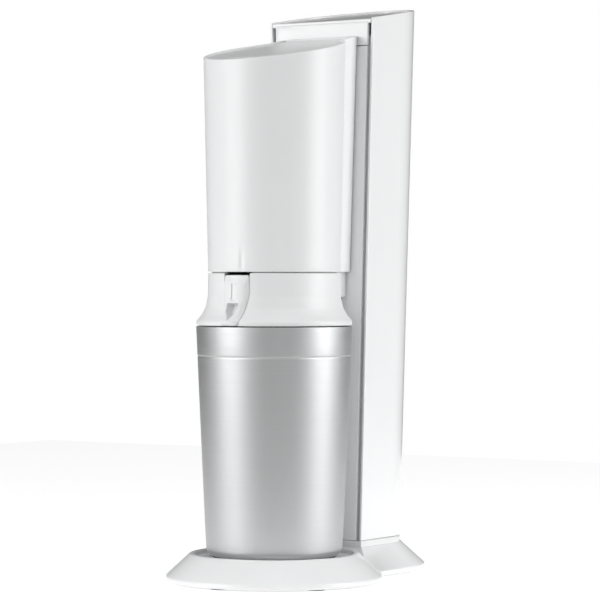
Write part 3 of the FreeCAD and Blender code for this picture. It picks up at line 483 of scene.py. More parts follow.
def make_canister():
    w = CAN_WALL
    outside = [(0, CAN_LOW), (CAN_BOTTOM_R - 3 * MM, CAN_LOW), (CAN_BOTTOM_R - 0.1 * MM, CAN_LOW + 3 * MM)]
    outside += [(can_radius(z), z) for z in (40 * MM, 80 * MM, 120 * MM, GROOVE_Z - GROOVE_HALF)]
    outside += [(can_radius(GROOVE_Z) - GROOVE_DEPTH, GROOVE_Z)]
    outside += [(can_radius(GROOVE_Z + GROOVE_HALF), GROOVE_Z + GROOVE_HALF)]
    outside += [(can_radius(CAN_HIGH), CAN_HIGH)]
    inside = [(r - w if r > 0 else 0, z + (w if z < CAN_LOW + 1 * MM else 0)) for r, z in outside[:-1]]
    inside[2] = (CAN_BOTTOM_R - 1.1 * MM, CAN_LOW + 3.6 * MM)
    section = outside + [(CAN_TOP_R - w, CAN_HIGH)] + inside[::-1]
    shell = lathe("canister_shell", section, 2.4 * MM, segments=256)
    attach(shell, "canister")
    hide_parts("steel_canister")
    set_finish(shell, "brushed_canister")

    floor = low("canister_cushion")[2]
    rim = high("canister_cushion")[2]
    reach = high("canister_cushion")[0]
    seat = low("glass_carafe")[2]
    cushion = lathe("carafe_cushion", [
        (0, floor), (reach - 5 * MM, floor), (reach, floor + 5 * MM), (reach, rim), (41.4 * MM, rim),
        (41.4 * MM, seat), (0, seat),
    ], 1.2 * MM)
    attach(cushion, "canister")
    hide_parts("canister_cushion")
    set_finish(cushion, "rubber_black")

    r, w, m = 41.0 * MM, 3.5 * MM, 19.0 * MM
    mouth = high("glass_carafe")[2]
    shoulder, neck = seat + 140 * MM, 16.5 * MM
    glass = lathe("carafe", [
        (0, seat + 1.6 * MM), (r - 16 * MM, seat + 1.4 * MM), (r - 8 * MM, seat), (r, seat + 6 * MM),
        (r, shoulder), (r - 7 * MM, shoulder + 30 * MM), (neck, shoulder + 78 * MM), (neck, mouth - 9 * MM),
        (m, mouth - 7 * MM), (m, mouth - 1 * MM), (m - 1 * MM, mouth), (neck - w + 0.5 * MM, mouth),
        (neck - w, shoulder + 78 * MM), (r - 7 * MM - w, shoulder + 30 * MM), (r - w, shoulder),
        (r - w, seat + 8 * MM), (r - w - 6 * MM, seat + w + 1 * MM), (0, seat + w + 2.2 * MM),
    ], 8 * MM)
    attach(glass, "canister")
    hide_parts("glass_carafe")
    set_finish(glass, "clear_glass")


# ---------------------------------------------------------------- head
def make_head_body():
    lip = COLLAR_LOW + 3.0 * MM
    neck = COLLAR_LOW + 20.0 * MM
    seam = COVER_LOW - 0.8 * MM
    inner = DRUM_R - HEAD_WALL
    deck_low, deck_high = 273.0 * MM, 276.0 * MM
    drum_top = HEAD_FRONT_Z - 20 * MM
    body = lathe("collar_and_drum", [
        (53.3 * MM, COLLAR_LOW), (CAN_TOP_R - 0.5 * MM, COLLAR_LOW), (CAN_TOP_R, lip),
        (52.6 * MM, lip + 4.2 * MM), (49.6 * MM, lip + 9.6 * MM), (47.8 * MM, neck + 1 * MM),
        (47.6 * MM, seam - 0.5 * MM), (47.1 * MM, seam), (DRUM_R, seam), (DRUM_R, drum_top),
        (inner, drum_top), (inner, deck_high), (7.0 * MM, deck_high),
        (7.0 * MM, deck_low), (inner, deck_low), (inner, neck + 4 * MM), (45.1 * MM, neck - 1.5 * MM),
        (47.3 * MM, lip + 6.5 * MM), (53.7 * MM, lip),
    ], 1.5 * MM, segments=256)
    window = latch_tab_outline(LATCH_GAP, AXIS_Y - 62 * MM)
    cut(body, prism("window", window, (0, 27 * MM, 0)))
    _, turn_y, turn_z = middle("latch_pin")
    room = 8 * MM
    cut(body, block("swing", -11 * MM, 11 * MM, turn_y - room, turn_y + room,
                    turn_z, COVER_LOW + 0.6 * MM))
    sides = wall("bridge_sides", bridge_point, bridge_inner, lambda y: COVER_LOW, head_top,
                 96, 16, 0.7 * MM, 0.008)
    start = AXIS_Y + 34 * MM
    half = bridge_half(COVER_LOW)
    floor = block("bridge_floor", -half + 0.4 * MM, half - 0.4 * MM, start, HEAD_BACK - 0.4 * MM,
                  COVER_LOW, COVER_LOW + HEAD_WALL, 0.4 * MM)
    throat = block("throat", -22.6 * MM, 22.6 * MM, start, HEAD_BACK, neck, COVER_LOW + 1 * MM, 1.6 * MM)
    tray_top = HEAD_FRONT_Z - 43 * MM
    tray = []
    for k in range(33):
        a = math.pi * (0.07 + 0.86 * k / 32)
        tray.append((-43.2 * MM * math.cos(a), AXIS_Y - 43.2 * MM * math.sin(a), tray_top - 3 * MM))
    shelf = prism("tray", tray, (0, 0, 3 * MM))
    push_x, push_y, _ = middle("push_rod")
    web_z = HEAD_FRONT_Z - 34 * MM
    web = block("web", -37 * MM, 37 * MM, push_y - 3 * MM, push_y + 3 * MM, web_z, web_z + 5 * MM, 0.5 * MM)
    guide_top = web_z + 12 * MM
    guide = lathe("guide", [(3.1 * MM, web_z), (7 * MM, web_z), (7 * MM, guide_top), (3.1 * MM, guide_top)],
                  0.6 * MM, push_x, push_y, 48)
    parts = [body, sides, floor, throat, shelf, web, guide]
    pin_y = middle("transfer_lever_pin")[1]
    for side in (-1, 1):
        x = push_x + side * 5.5 * MM
        lug = block("lug", x - 1.6 * MM, x + 1.6 * MM, pin_y - 4 * MM, pin_y + 4 * MM,
                    deck_high - 0.5 * MM, deck_high + 10.5 * MM, 0.8 * MM)
        parts.append(lug)
        for y in (-9.0 * MM, 6.6 * MM):
            x0, x1 = sorted((side * 41.2 * MM, side * 46.0 * MM))
            parts.append(block("ear", x0, x1, AXIS_Y + y, AXIS_Y + y + 2.4 * MM,
                               neck - 15.5 * MM, neck, 0.4 * MM))
    body = joined("head_shell", parts)
    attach(body, "head")
    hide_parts("head_body")
    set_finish(body, "head_white")


def make_head_cover():
    cover = wall("front_cover", cover_point, cover_inner, lambda y: COVER_LOW, head_top,
                 420, 40, 0.8 * MM, 0.0022)
    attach(cover, "head")
    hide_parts("head_front_cover")
    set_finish(cover, "head_white")


def latch_tab_outline(outset, y):
    """Outline of the tab seen from the front, grown by outset."""
    top, foot = LATCH_TOP + outset, LATCH_FOOT - outset
    half, tip = LATCH_HALF + outset, LATCH_TIP + outset
    loop = [(-half, y, top), (half, y, top), (half, y, LATCH_SHOULDER)]
    loop += [(tip, y, foot), (-tip, y, foot), (-half, y, LATCH_SHOULDER)]
    return rounded(loop, 2.0 * MM)


def collar_radius(z):
    """Radius of the collar's outside at a height, for pieces that follow it."""
    heights = [(COLLAR_LOW, CAN_TOP_R - 0.5 * MM), (COLLAR_LOW + 3 * MM, CAN_TOP_R),
               (COLLAR_LOW + 7.2 * MM, 52.6 * MM), (COLLAR_LOW + 12.6 * MM, 49.6 * MM),
               (COLLAR_LOW + 21 * MM, 47.8 * MM), (COVER_LOW, 47.6 * MM)]
    for (z0, r0), (z1, r1) in zip(heights, heights[1:]):
        if z <= z1:
            share = max(0.0, (z - z0) / (z1 - z0))
            return r0 + (r1 - r0) * share
    return heights[-1][1]


def make_latch():
    top, foot, shoulder = LATCH_TOP, LATCH_FOOT, LATCH_SHOULDER
    columns, rows = 72, 96
    verts, faces = [], []

    def smooth(edge0, edge1, value):
        t = min(1.0, max(0.0, (value - edge0) / (edge1 - edge0)))
        return t * t * (3 - 2 * t)

    for layer in (0, 1):
        for j in range(rows + 1):
            v = j / rows
            z = foot + (top - foot) * v
            half = LATCH_HALF if z > shoulder else LATCH_TIP + LATCH_FLARE * (z - foot) / (shoulder - foot)
            edge_v = min(v, 1 - v) * (top - foot)
            half -= fall(min(1.0, edge_v / (2.0 * MM)), 2.0 * MM)
            for i in range(columns + 1):
                u = 2 * i / columns - 1
                u = math.copysign(1 - (1 - abs(u)) ** 1.5, u) if abs(u) > 0 else 0.0
                x = u * half
                radius = collar_radius(z)
                if layer == 0:
                    near = min(half - abs(x), edge_v)
                    lift = 1.9 * MM * (1 - smooth(top - 7 * MM, top - 1 * MM, z)) + 0.3 * MM
                    lift *= 1 - 0.5 * (1 - smooth(foot, foot + 6 * MM, z))
                    crown = 1.0 * MM * (1 - abs(u) ** 2)
                    edge = lift + 0.6 * MM
                    proud = lift - edge + edge * math.sqrt(max(0.0, 1 - (1 - min(1.0, near / edge)) ** 2))
                    ridge = 1.2 * MM * (1 - smooth(foot + 12 * MM, foot + 26 * MM, z))
                    groove = 0.9 * MM * (1 - smooth(1.4 * MM, 2.2 * MM, abs(x)))
                    above = 1 - smooth(top - 7 * MM, top - 5 * MM, z)
                    groove *= smooth(foot + 17 * MM, foot + 19 * MM, z) * above
                    width = 4.6 * MM * smooth(foot + 3.0 * MM, foot + 11.5 * MM, z)
                    scoop = 1 - smooth(width * 0.55, width + 0.6 * MM, abs(x))
                    above = 1 - smooth(foot + 15.0 * MM, foot + 16.2 * MM, z)
                    scoop *= smooth(foot + 3.4 * MM, foot + 6 * MM, z) * above
                    radius += proud + crown + ridge * 0.4 - groove - scoop * 6.2 * MM
                else:
                    radius -= 3.0 * MM if z > foot + 17 * MM else 7.0 * MM
                x = min(x, radius * 0.9)
                y = AXIS_Y - math.sqrt(max(radius ** 2 - x ** 2, 1e-9))
                verts.append((x, y, z))
    size = columns + 1
    sheet = (rows + 1) * size
    for layer in (0, 1):
        for j in range(rows):
            for i in range(columns):
                a = layer * sheet + j * size + i
                faces.append([a, a + 1, a + size + 1, a + size])
    rim = [i for i in range(columns)] + [j * size + columns for j in range(rows)]
    rim += [rows * size + columns - i for i in range(columns)] + [(rows - j) * size for j in range(rows)]
    for k, a in enumerate(rim):
        b = rim[(k + 1) % len(rim)]
        faces.append([a, b, sheet + b, sheet + a])
    tab = make_object("tab", verts, faces, 50)
    _, pin_y, pin_z = middle("latch_pin")
    barrel = []
    for x in (-9.5 * MM, 9.5 * MM):
        barrel.append([Vector((x, pin_y + 2.4 * MM * math.sin(a), pin_z + 2.4 * MM * math.cos(a)))
                       for a in (2 * math.pi * k / 32 for k in range(32))])
    tab = joined("latch_tab", [tab, bevel(skin("barrel", barrel), 0.3 * MM)])
    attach(tab, "latch")
    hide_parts("latch_lever")
    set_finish(tab, "head_white")


def make_press_plate():
    gap = HEAD_WALL + 0.5 * MM
    back = HEAD_BACK - HEAD_WALL - 1.2 * MM

    def plan(inset):
        z = (HEAD_FRONT_Z + RIM_BACK_Z) / 2
        r = head_radius(z) - gap - inset
        half = bridge_half(z) - gap - inset
        meet = math.asin(half / r)
        points = []
        for k in range(129):
            a = (2 * k / 128 - 1) * (math.pi - meet)
            points.append(Vector((r * math.sin(a), AXIS_Y - r * math.cos(a), 0)))
        rear = back - inset
        for x, y in ((half, rear - 2 * MM), (half - 0.6 * MM, rear - 0.6 * MM), (half - 2 * MM, rear)):
            points.append(Vector((x, y, 0)))
        for x, y in ((half - 2 * MM, rear), (half - 0.6 * MM, rear - 0.6 * MM), (half, rear - 2 * MM)):
            points.append(Vector((-x, y, 0)))
        return points

    plate = slab("plate_top", plan, lambda y: head_top(y) - 1.2 * MM, 3.0 * MM, 0.9 * MM)
    slit_r = HEAD_R - gap - 12.0 * MM
    outer = [(slit_r * math.sin(a), AXIS_Y - slit_r * math.cos(a), HEAD_FRONT_Z - 9 * MM)
             for a in (math.radians(v) for v in range(-34, 35, 2))]
    inner_r = slit_r - 3.2 * MM
    inner = [(inner_r * math.sin(a), AXIS_Y - inner_r * math.cos(a), HEAD_FRONT_Z - 9 * MM)
             for a in (math.radians(v) for v in range(33, -34, -2))]
    slit = prism("slit", outer + inner, (0, 0, 30 * MM))
    side, ahead, behind, sunk = 90 * MM, -0.3, 0.1, 3.2 * MM
    ahead_z, behind_z = head_top(ahead) - sunk, head_top(behind) - sunk
    trimmed = prism("slit_floor", [(-side, ahead, ahead_z), (side, ahead, ahead_z),
                                   (side, behind, behind_z), (-side, behind, behind_z)], (0, 0, -0.05))
    cut(slit, trimmed)
    cut(plate, slit)
    _, pin_y, pin_z = middle("plate_pin")
    half = bridge_half(pin_z) - gap
    parts = [plate]
    for side in (-1, 1):
        rings = []
        for x in sorted((side * (half - 7 * MM), side * half)):
            ring = []
            for k in range(24):
                a = math.pi * k / 23
                ring.append(Vector((x, pin_y - 3.2 * MM * math.cos(a), pin_z - 3.2 * MM * math.sin(a))))
            ring.append(Vector((x, pin_y + 3.0 * MM, pin_z + 2.2 * MM)))
            ring.append(Vector((x, pin_y - 3.0 * MM, pin_z + 1.6 * MM)))
            rings.append(ring)
        parts.append(bevel(skin("knuckle", rings), 0.3 * MM, 2))
    push_x, push_y, _ = middle("push_rod")
    post_low = high("push_rod")[2] + 0.4 * MM
    parts.append(block("post", push_x - 4 * MM, push_x + 4 * MM, push_y - 5 * MM, push_y + 5 * MM, post_low,
                       head_top(push_y - 5 * MM) - 2.2 * MM, 0.5 * MM))
    plate = joined("press_top", parts)
    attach(plate, "plate")
    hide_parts("press_plate")
    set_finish(plate, "plate_white")


# ---------------------------------------------------------------- tower
def panel_ring(z):
    half = tower_half(z) - 4.6 * MM
    corners = ((-half, TOWER_Y), (half, TOWER_Y), (half, PANEL_BACK), (-half, PANEL_BACK))
    return [Vector((x, y, z)) for x, y in corners]


def make_panels():
    bottom = PLINTH_Z + 0.3 * MM
    panel = skin("panel_face", [panel_ring(z) for z in (bottom, CAP_SEAM)])
    slot = [(-18 * MM, 0, 186 * MM), (18 * MM, 0, 186 * MM), (18 * MM, 0, 420 * MM), (-18 * MM, 0, 420 * MM)]
    cut(panel, prism("slot", rounded(slot, 3 * MM), (0, 60 * MM, 0)))
    bevel(panel, 0.5 * MM)
    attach(panel, "tower")
    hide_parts("front_panel")
    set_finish(panel, "panel_grey")

    def lid_plan(inset):
        points = []
        for k in range(121):
            points.append(tower_point(k / 120, TOWER_TOP_Z, COVER_WALL + 0.4 * MM + inset, TOWER_Y + inset))
        return points

    lid = slab("lid", lid_plan, lambda y: tower_top(y) - 1.0 * MM, 3.0 * MM, 0.8 * MM)
    skirt = skin("skirt", [panel_ring(z) for z in (CAP_SEAM + 0.6 * MM, TOWER_TOP_Z - 2.5 * MM)])
    notch = block("notch", -18 * MM, 18 * MM, 0, 60 * MM, 380 * MM, 393.3 * MM)
    cut(skirt, notch)
    bevel(skirt, 0.5 * MM)
    cap = joined("cap", [lid, skirt])
    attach(cap, "tower")
    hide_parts("top_cap")
    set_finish(cap, "white_gloss")


def make_rear_cover():
    bottom = PLINTH_Z + 0.3 * MM
    cover = wall("cover_wall", tower_point, lambda t, z, inset: tower_point(t, z, COVER_WALL - inset),
                 lambda y: bottom, tower_top, 140, 30, 0.7 * MM, 0.0035)
    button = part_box("cover_button")
    z = middle("cover_button")[2]
    rings = []
    for y in (button[1][1] - 12 * MM, button[1][1] + 20 * MM):
        rings.append([Vector((9 * MM * math.cos(a), y, z + 9 * MM * math.sin(a)))
                      for a in (2 * math.pi * k / 64 for k in range(64))])
    cut(cover, skin("window", rings))
    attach(cover, "cover")
    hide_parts("rear_cover")
    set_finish(cover, "white_gloss")

    face = button[1][1]
    profile = [(0.0, 0.9), (5.0, 0.7), (7.4, 0.0), (8.2, 0.2), (8.6, 0.9),
               (8.6, 6.4 - 0.4), (10.5, 6.0), (10.5, 6.4), (0, 6.4)]
    section = rounded([(r, d, 0) for r, d in profile], [0, 2, 0.6, 0.4, 0.4, 0, 0.2, 0.2, 0])
    verts, faces = [], []
    steps = 72
    for s in range(steps):
        a = 2 * math.pi * s / steps
        for p in section:
            verts.append((p.x * MM * math.cos(a), face - p.y * MM, z + p.x * MM * math.sin(a)))
    count = len(section)
    for s in range(steps):
        t = (s + 1) % steps
        for i in range(count):
            j = (i + 1) % count
            faces.append([s * count + i, s * count + j, t * count + j, t * count + i])
    cap = make_object("button_cap", verts, faces, 35)
    catch = block("catch", -3 * MM, 3 * MM, button[0][1], face - 6 * MM, z - 2 * MM, z + 2 * MM, 0.4 * MM)
    piece = joined("press_button", [cap, catch])
    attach(piece, "button")
    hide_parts("cover_button")
    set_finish(piece, "white_gloss")


# ---------------------------------------------------------------- springs and hose
def make_springs():
    for name in ("left", "right"):
        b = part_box("lift_spring_" + name)
        x, y, _ = middle("lift_spring_" + name)
        radius = (b[1][0] - b[0][0]) / 2 - 0.6 * MM
        spring = coil("lift_coil_" + name, x, y, b[0][2], b[1][2], radius, 0.6 * MM, 13)
        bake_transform(spring)
        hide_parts("lift_spring_" + name)
        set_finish(spring, "spring_steel")
    for node, body, turns, wire in (("plate_spring", "head", 9, 0.6), ("plunger_spring", "tower", 6, 0.5)):
        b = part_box(node)
        x, y, _ = middle(node)
        radius = (b[1][0] - b[0][0]) / 2 - wire * MM
        spring = coil(node + "_coil", x, y, b[0][2], b[1][2], radius, wire * MM, turns)
        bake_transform(spring)
        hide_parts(node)
        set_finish(spring, "spring_steel")


def make_hose():
    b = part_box("gas_hose")
    radius = 2.5 * MM
    x0, x1 = b[0][0] + radius, -6.0 * MM
    y0, y1 = b[1][1] - radius, b[0][1] + radius
    top, end = b[1][2], 187.0 * MM
    across = Vector((x1 - x0, y1 - y0, 0))
    bend = across.length / 2
    turn = b[0][2] + radius + bend
    centre = Vector((x0, y0, turn)) + across / 2
    path = [Vector((x0, y0, top + (turn - top) * k / 60)) for k in range(60)]
    for k in range(41):
        a = math.pi * k / 40
        path.append(centre - across / 2 * math.cos(a) - Vector((0, 0, bend * math.sin(a))))
    path += [Vector((x1, y1, turn + (end - turn) * k / 30)) for k in range(1, 31)]
    hose = sweep("gas_line", path, radius, 20)
    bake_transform(hose)
    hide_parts("gas_hose")
    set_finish(hose, "hose_black")


# ---------------------------------------------------------------- materials
def material(name):
    mat = bpy.data.materials.new(name)
    mat.use_nodes = True
    tree = mat.node_tree
    tree.nodes.clear()
    out = tree.nodes.new("ShaderNodeOutputMaterial")
    shader = tree.nodes.new("ShaderNodeBsdfPrincipled")
    tree.links.new(shader.outputs["BSDF"], out.inputs["Surface"])
    return mat, tree, shader


def noise(tree, scale, stretch=(1, 1, 1), detail=4.0):
    """Noise in object space, stretched along the axes."""
    place = tree.nodes.new("ShaderNodeTexCoord")
    mapping = tree.nodes.new("ShaderNodeMapping")
    mapping.inputs["Scale"].default_value = stretch
    texture = tree.nodes.new("ShaderNodeTexNoise")
    texture.inputs["Scale"].default_value = scale
    texture.inputs["Detail"].default_value = detail
    tree.links.new(place.outputs["Object"], mapping.inputs["Vector"])
    tree.links.new(mapping.outputs["Vector"], texture.inputs["Vector"])
    return texture.outputs["Fac"]


def vary_colour(tree, shader, source, colour, spread):
    ramp = tree.nodes.new("ShaderNodeValToRGB")
    ramp.color_ramp.elements[0].position = 0.3
    ramp.color_ramp.elements[1].position = 0.7
    ramp.color_ramp.elements[0].color = [max(0.0, c * (1 - spread)) for c in colour] + [1]
    ramp.color_ramp.elements[1].color = [min(1.0, c * (1 + spread)) for c in colour] + [1]
    tree.links.new(source, ramp.inputs["Fac"])
    tree.links.new(ramp.outputs["Color"], shader.inputs["Base Color"])


def vary_value(tree, socket, source, least, most):
    spread = tree.nodes.new("ShaderNodeMapRange")
    spread.inputs["From Min"].default_value = 0.25
    spread.inputs["From Max"].default_value = 0.75
    spread.inputs["To Min"].default_value = least
    spread.inputs["To Max"].default_value = most
    tree.links.new(source, spread.inputs["Value"])
    tree.links.new(spread.outputs["Result"], socket)


def surface_normal(tree, shader, source, strength, distance, round_edge=0.0):
    bump = tree.nodes.new("ShaderNodeBump")
    bump.inputs["Strength"].default_value = strength
    bump.inputs["Distance"].default_value = distance
    tree.links.new(source, bump.inputs["Height"])
    if round_edge:
        edge = tree.nodes.new("ShaderNodeBevel")
        edge.samples = 4
        edge.inputs["Radius"].default_value = round_edge
        tree.links.new(edge.outputs["Normal"], bump.inputs["Normal"])
    tree.links.new(bump.outputs["Normal"], shader.inputs["Normal"])


def plastic(name, colour, rough, grain=900.0, texture=0.02, edge=0.0, spread=0.006, coat=0.0):
    mat, tree, shader = material(name)
    vary_colour(tree, shader, noise(tree, 24.0), colour, spread)
    vary_value(tree, shader.inputs["Roughness"], noise(tree, 70.0), rough * 0.95, rough * 1.05)
    surface_normal(tree, shader, noise(tree, grain, detail=2.0), texture, 0.0001, edge)
    shader.inputs["IOR"].default_value = 1.49
    shader.inputs["Coat Weight"].default_value = coat
    shader.inputs["Coat Roughness"].default_value = 0.08
    return mat


def metal(name, colour, rough, stretch=(1, 1, 1), texture=0.05, edge=0.0, anisotropy=0.0, spread=0.06):
    mat, tree, shader = material(name)
    shader.inputs["Metallic"].default_value = 1.0
    vary_colour(tree, shader, noise(tree, METAL_GRAIN, stretch), colour, spread)
    wear = noise(tree, METAL_GRAIN * 1.7, stretch)
    vary_value(tree, shader.inputs["Roughness"], wear, rough * 0.8, rough * 1.2)
    surface_normal(tree, shader, noise(tree, METAL_GRAIN * 4, stretch, 3.0), texture, 0.00006, edge)
    if anisotropy:
        shader.inputs["Anisotropic"].default_value = anisotropy
        tangent = tree.nodes.new("ShaderNodeTangent")
        tangent.direction_type = "RADIAL"
        tangent.axis = "Z"
        tree.links.new(tangent.outputs["Tangent"], shader.inputs["Tangent"])
    return mat


def glass(name):
    mat, tree, shader = material(name)
    vary_colour(tree, shader, noise(tree, 12.0), (0.96, 0.985, 0.975), 0.01)
    vary_value(tree, shader.inputs["Roughness"], noise(tree, 40.0), 0.0, 0.025)
    surface_normal(tree, shader, noise(tree, 18.0, (1, 1, 0.4)), 0.06, 0.0004)
    shader.inputs["Transmission Weight"].default_value = 1.0
    shader.inputs["IOR"].default_value = 1.5
    return mat


def make_materials():
    edge = 0.0005
    return {
        "white_gloss": plastic("white_gloss", (0.82, 0.825, 0.83), 0.18, coat=0.3),
        "head_white": plastic("head_white", (0.80, 0.805, 0.81), 0.36),
        "plate_white": plastic("plate_white", (0.74, 0.745, 0.75), 0.32),
        "foot_white": plastic("foot_white", (0.80, 0.805, 0.81), 0.24),
        "panel_grey": plastic("panel_grey", (0.83, 0.835, 0.84), 0.36, 1400.0, 0.08),
        "dark_inner": plastic("dark_inner", (0.05, 0.05, 0.053), 0.45, 900.0, 0.1, edge, 0.06),
        "frame_grey": plastic("frame_grey", (0.50, 0.505, 0.51), 0.42, 1100.0, 0.12, edge, 0.04),
        "bush_polymer": plastic("bush_polymer", (0.72, 0.69, 0.60), 0.38, 900.0, 0.08, edge, 0.03),
        "rubber_black": plastic("rubber_black", (0.028, 0.028, 0.03), 0.62, 1500.0, 0.2, edge, 0.08),
        "hose_black": plastic("hose_black", (0.035, 0.035, 0.038), 0.34, 1200.0, 0.1, 0.0, 0.06),
        "screw_steel": metal("screw_steel", (0.60, 0.60, 0.60), 0.28, edge=0.0003),
        "ground_steel": metal("ground_steel", (0.66, 0.66, 0.67), 0.14, (1, 1, 40), 0.04, edge),
        "spring_steel": metal("spring_steel", (0.50, 0.50, 0.51), 0.30),
        "brushed_canister": metal("brushed_canister", (0.56, 0.565, 0.57), 0.47, (0.25, 0.25, 70.0), 0.03,
                                  anisotropy=0.3, spread=0.018),
        "cylinder_aluminium": metal("cylinder_aluminium", (0.62, 0.63, 0.64), 0.38, (0.4, 0.4, 20.0), 0.08),
        "brass": metal("brass", (0.72, 0.52, 0.24), 0.24, edge=edge),
        "clear_glass": glass("clear_glass"),
    }


# ---------------------------------------------------------------- stage, light and camera
def emission_world():
    world = bpy.data.worlds.new("studio")
    bpy.context.scene.world = world
    world.use_nodes = True
    tree = world.node_tree
    tree.nodes.clear()
    out = tree.nodes.new("ShaderNodeOutputWorld")
    around = tree.nodes.new("ShaderNodeBackground")
    seen = tree.nodes.new("ShaderNodeBackground")
    mix = tree.nodes.new("ShaderNodeMixShader")
    ray = tree.nodes.new("ShaderNodeLightPath")
    seen.inputs["Color"].default_value = (1, 1, 1, 1)
    seen.inputs["Strength"].default_value = 1.0
    around.inputs["Color"].default_value = (1, 1, 1, 1)
    a = math.radians(CAMERA_AZIMUTH)
    place = tree.nodes.new("ShaderNodeTexCoord")
    facing = tree.nodes.new("ShaderNodeVectorMath")
    facing.operation = "DOT_PRODUCT"
    facing.inputs[1].default_value = (math.sin(a), -math.cos(a), 0)
    spread = tree.nodes.new("ShaderNodeMapRange")
    spread.inputs["From Min"].default_value = -0.7
    spread.inputs["From Max"].default_value = 0.3
    spread.inputs["To Min"].default_value = BEHIND
    spread.inputs["To Max"].default_value = AMBIENT
    tree.links.new(place.outputs["Generated"], facing.inputs[0])
    tree.links.new(facing.outputs["Value"], spread.inputs["Value"])
    split = tree.nodes.new("ShaderNodeSeparateXYZ")
    above = tree.nodes.new("ShaderNodeMapRange")
    above.inputs["From Min"].default_value = 0.1
    above.inputs["From Max"].default_value = 0.7
    above.inputs["To Min"].default_value = 0.0
    above.inputs["To Max"].default_value = OVERHEAD
    total = tree.nodes.new("ShaderNodeMath")
    total.operation = "ADD"
    tree.links.new(place.outputs["Generated"], split.inputs["Vector"])
    tree.links.new(split.outputs["Z"], above.inputs["Value"])
    tree.links.new(spread.outputs["Result"], total.inputs[0])
    tree.links.new(above.outputs["Result"], total.inputs[1])
    tree.links.new(total.outputs["Value"], around.inputs["Strength"])
    tree.links.new(ray.outputs["Is Camera Ray"], mix.inputs["Fac"])
    tree.links.new(around.outputs["Background"], mix.inputs[1])
    tree.links.new(seen.outputs["Background"], mix.inputs[2])
    tree.links.new(mix.outputs["Shader"], out.inputs["Surface"])


def soft_light(name, azimuth, distance, height, width, tall, power):
    """A soft box facing the machine; azimuth is measured from the front, positive to the machine's right."""
    a = math.radians(azimuth)
    data = bpy.data.lights.new(name, "AREA")
    data.shape = "RECTANGLE"
    data.size = width
    data.size_y = tall
    data.energy = power
    lamp = bpy.data.objects.new(name, data)
    target = Vector((0, 0, 0.2))
    lamp.location = Vector((math.sin(a) * distance, -math.cos(a) * distance, height))
    lamp.rotation_euler = (target - lamp.location).to_track_quat("-Z", "Y").to_euler()
    bpy.context.scene.collection.objects.link(lamp)


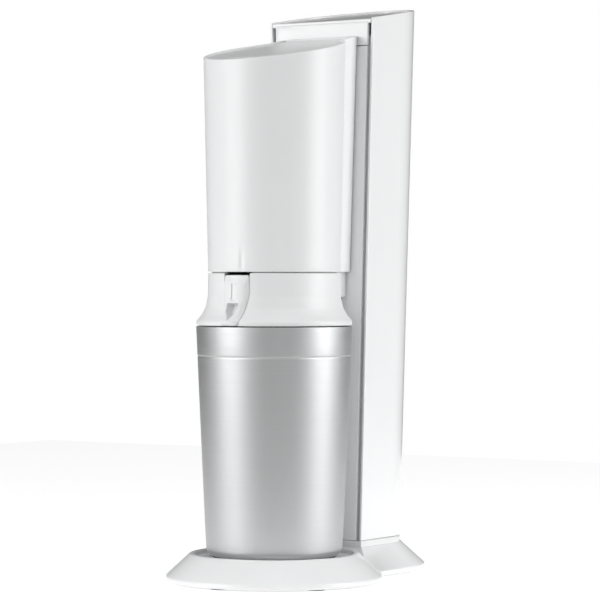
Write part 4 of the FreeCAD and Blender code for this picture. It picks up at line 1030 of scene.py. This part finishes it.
def make_stage():
    # The floor glows: light is painted into its emission in a patch around the machine's foot, laid out
    # across and towards the camera's azimuth, with a darker base colour under the patch. Beyond the patch
    # the floor is plain grey.
    r = FLOOR_REACH
    floor = make_object("floor", [(-r, -r, 0), (r, -r, 0), (r, r, 0), (-r, r, 0)], [[0, 1, 2, 3]])
    mat, tree, shader = material("floor_painted_glow")
    a = math.radians(CAMERA_AZIMUTH)
    place = tree.nodes.new("ShaderNodeTexCoord")
    glow = None
    across, towards = (math.cos(a), math.sin(a), 0), (math.sin(a), -math.cos(a), 0)
    for direction, near, far in ((across, 0.50, 0.70), (towards, 0.20, 0.32)):
        along = tree.nodes.new("ShaderNodeVectorMath")
        along.operation = "DOT_PRODUCT"
        along.inputs[1].default_value = direction
        tree.links.new(place.outputs["Object"], along.inputs[0])
        size = tree.nodes.new("ShaderNodeMath")
        size.operation = "ABSOLUTE" if glow is None else "ADD"
        size.inputs[1].default_value = 0.0
        tree.links.new(along.outputs["Value"], size.inputs[0])
        band = tree.nodes.new("ShaderNodeMapRange")
        band.inputs["From Min"].default_value = near
        band.inputs["From Max"].default_value = far
        band.inputs["To Min"].default_value = 1.0
        band.inputs["To Max"].default_value = 0.0
        tree.links.new(size.outputs["Value"], band.inputs["Value"])
        if glow is None:
            glow = band
            continue
        both = tree.nodes.new("ShaderNodeMath")
        both.operation = "MULTIPLY"
        tree.links.new(glow.outputs["Result"], both.inputs[0])
        tree.links.new(band.outputs["Result"], both.inputs[1])
        glow = both
    # painted glow: emission strength of the lit patch, from none at its edge up to FLOOR_GLOW
    vary_value(tree, shader.inputs["Emission Strength"], glow.outputs["Value"], 0.0, FLOOR_GLOW)
    ramp = tree.nodes.new("ShaderNodeValToRGB")
    ramp.color_ramp.elements[0].color = (0.62, 0.62, 0.62, 1)
    ramp.color_ramp.elements[1].color = (0.42, 0.42, 0.42, 1)
    tree.links.new(glow.outputs["Value"], ramp.inputs["Fac"])
    tree.links.new(ramp.outputs["Color"], shader.inputs["Base Color"])
    vary_value(tree, shader.inputs["Roughness"], noise(tree, 20.0), 0.55, 0.65)
    shader.inputs["Emission Color"].default_value = (1, 1, 1, 1)
    floor.data.materials.append(mat)


def make_camera():
    a = math.radians(CAMERA_AZIMUTH)
    data = bpy.data.cameras.new("view")
    data.lens = CAMERA_LENS
    data.sensor_width = 36.0
    data.shift_x, data.shift_y = CAMERA_SHIFT
    camera = bpy.data.objects.new("view", data)
    camera.location = (math.sin(a) * CAMERA_DISTANCE, AXIS_Y - math.cos(a) * CAMERA_DISTANCE, CAMERA_HEIGHT)
    camera.rotation_euler = (math.radians(90), 0, a)
    bpy.context.scene.collection.objects.link(camera)
    bpy.context.scene.camera = camera


# ---------------------------------------------------------------- build
make_base()
make_canister()
make_head_body()
make_head_cover()
make_latch()
make_press_plate()
make_panels()
make_rear_cover()
make_springs()
make_hose()

# every piece and every CAD node that is still shown takes its slot's finish
materials = make_materials()
for row in frame["record"]["subparts"]:
    node = frame["nodes"][row["node"]]
    node.data.materials.clear()
    node.data.materials.append(materials[row["material_slot"]])
for piece in list(bpy.context.scene.objects):
    if piece.get("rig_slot"):
        piece.data.materials.clear()
        piece.data.materials.append(materials[piece["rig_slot"]])

make_stage()
emission_world()
soft_light("left_box", CAMERA_AZIMUTH - 66, 1.5, 0.5, 0.9, 1.8, LEFT_POWER)
soft_light("right_box", CAMERA_AZIMUTH + 76, 1.5, 0.5, 0.8, 1.8, RIGHT_POWER)
soft_light("top_box", CAMERA_AZIMUTH + 10, 0.5, 1.8, 1.2, 1.2, TOP_POWER)
soft_light("front_box", CAMERA_AZIMUTH + 6, 2.6, 0.7, 0.7, 1.6, FRONT_POWER)
make_camera()
bpy.context.scene.view_settings.view_transform = "Standard"
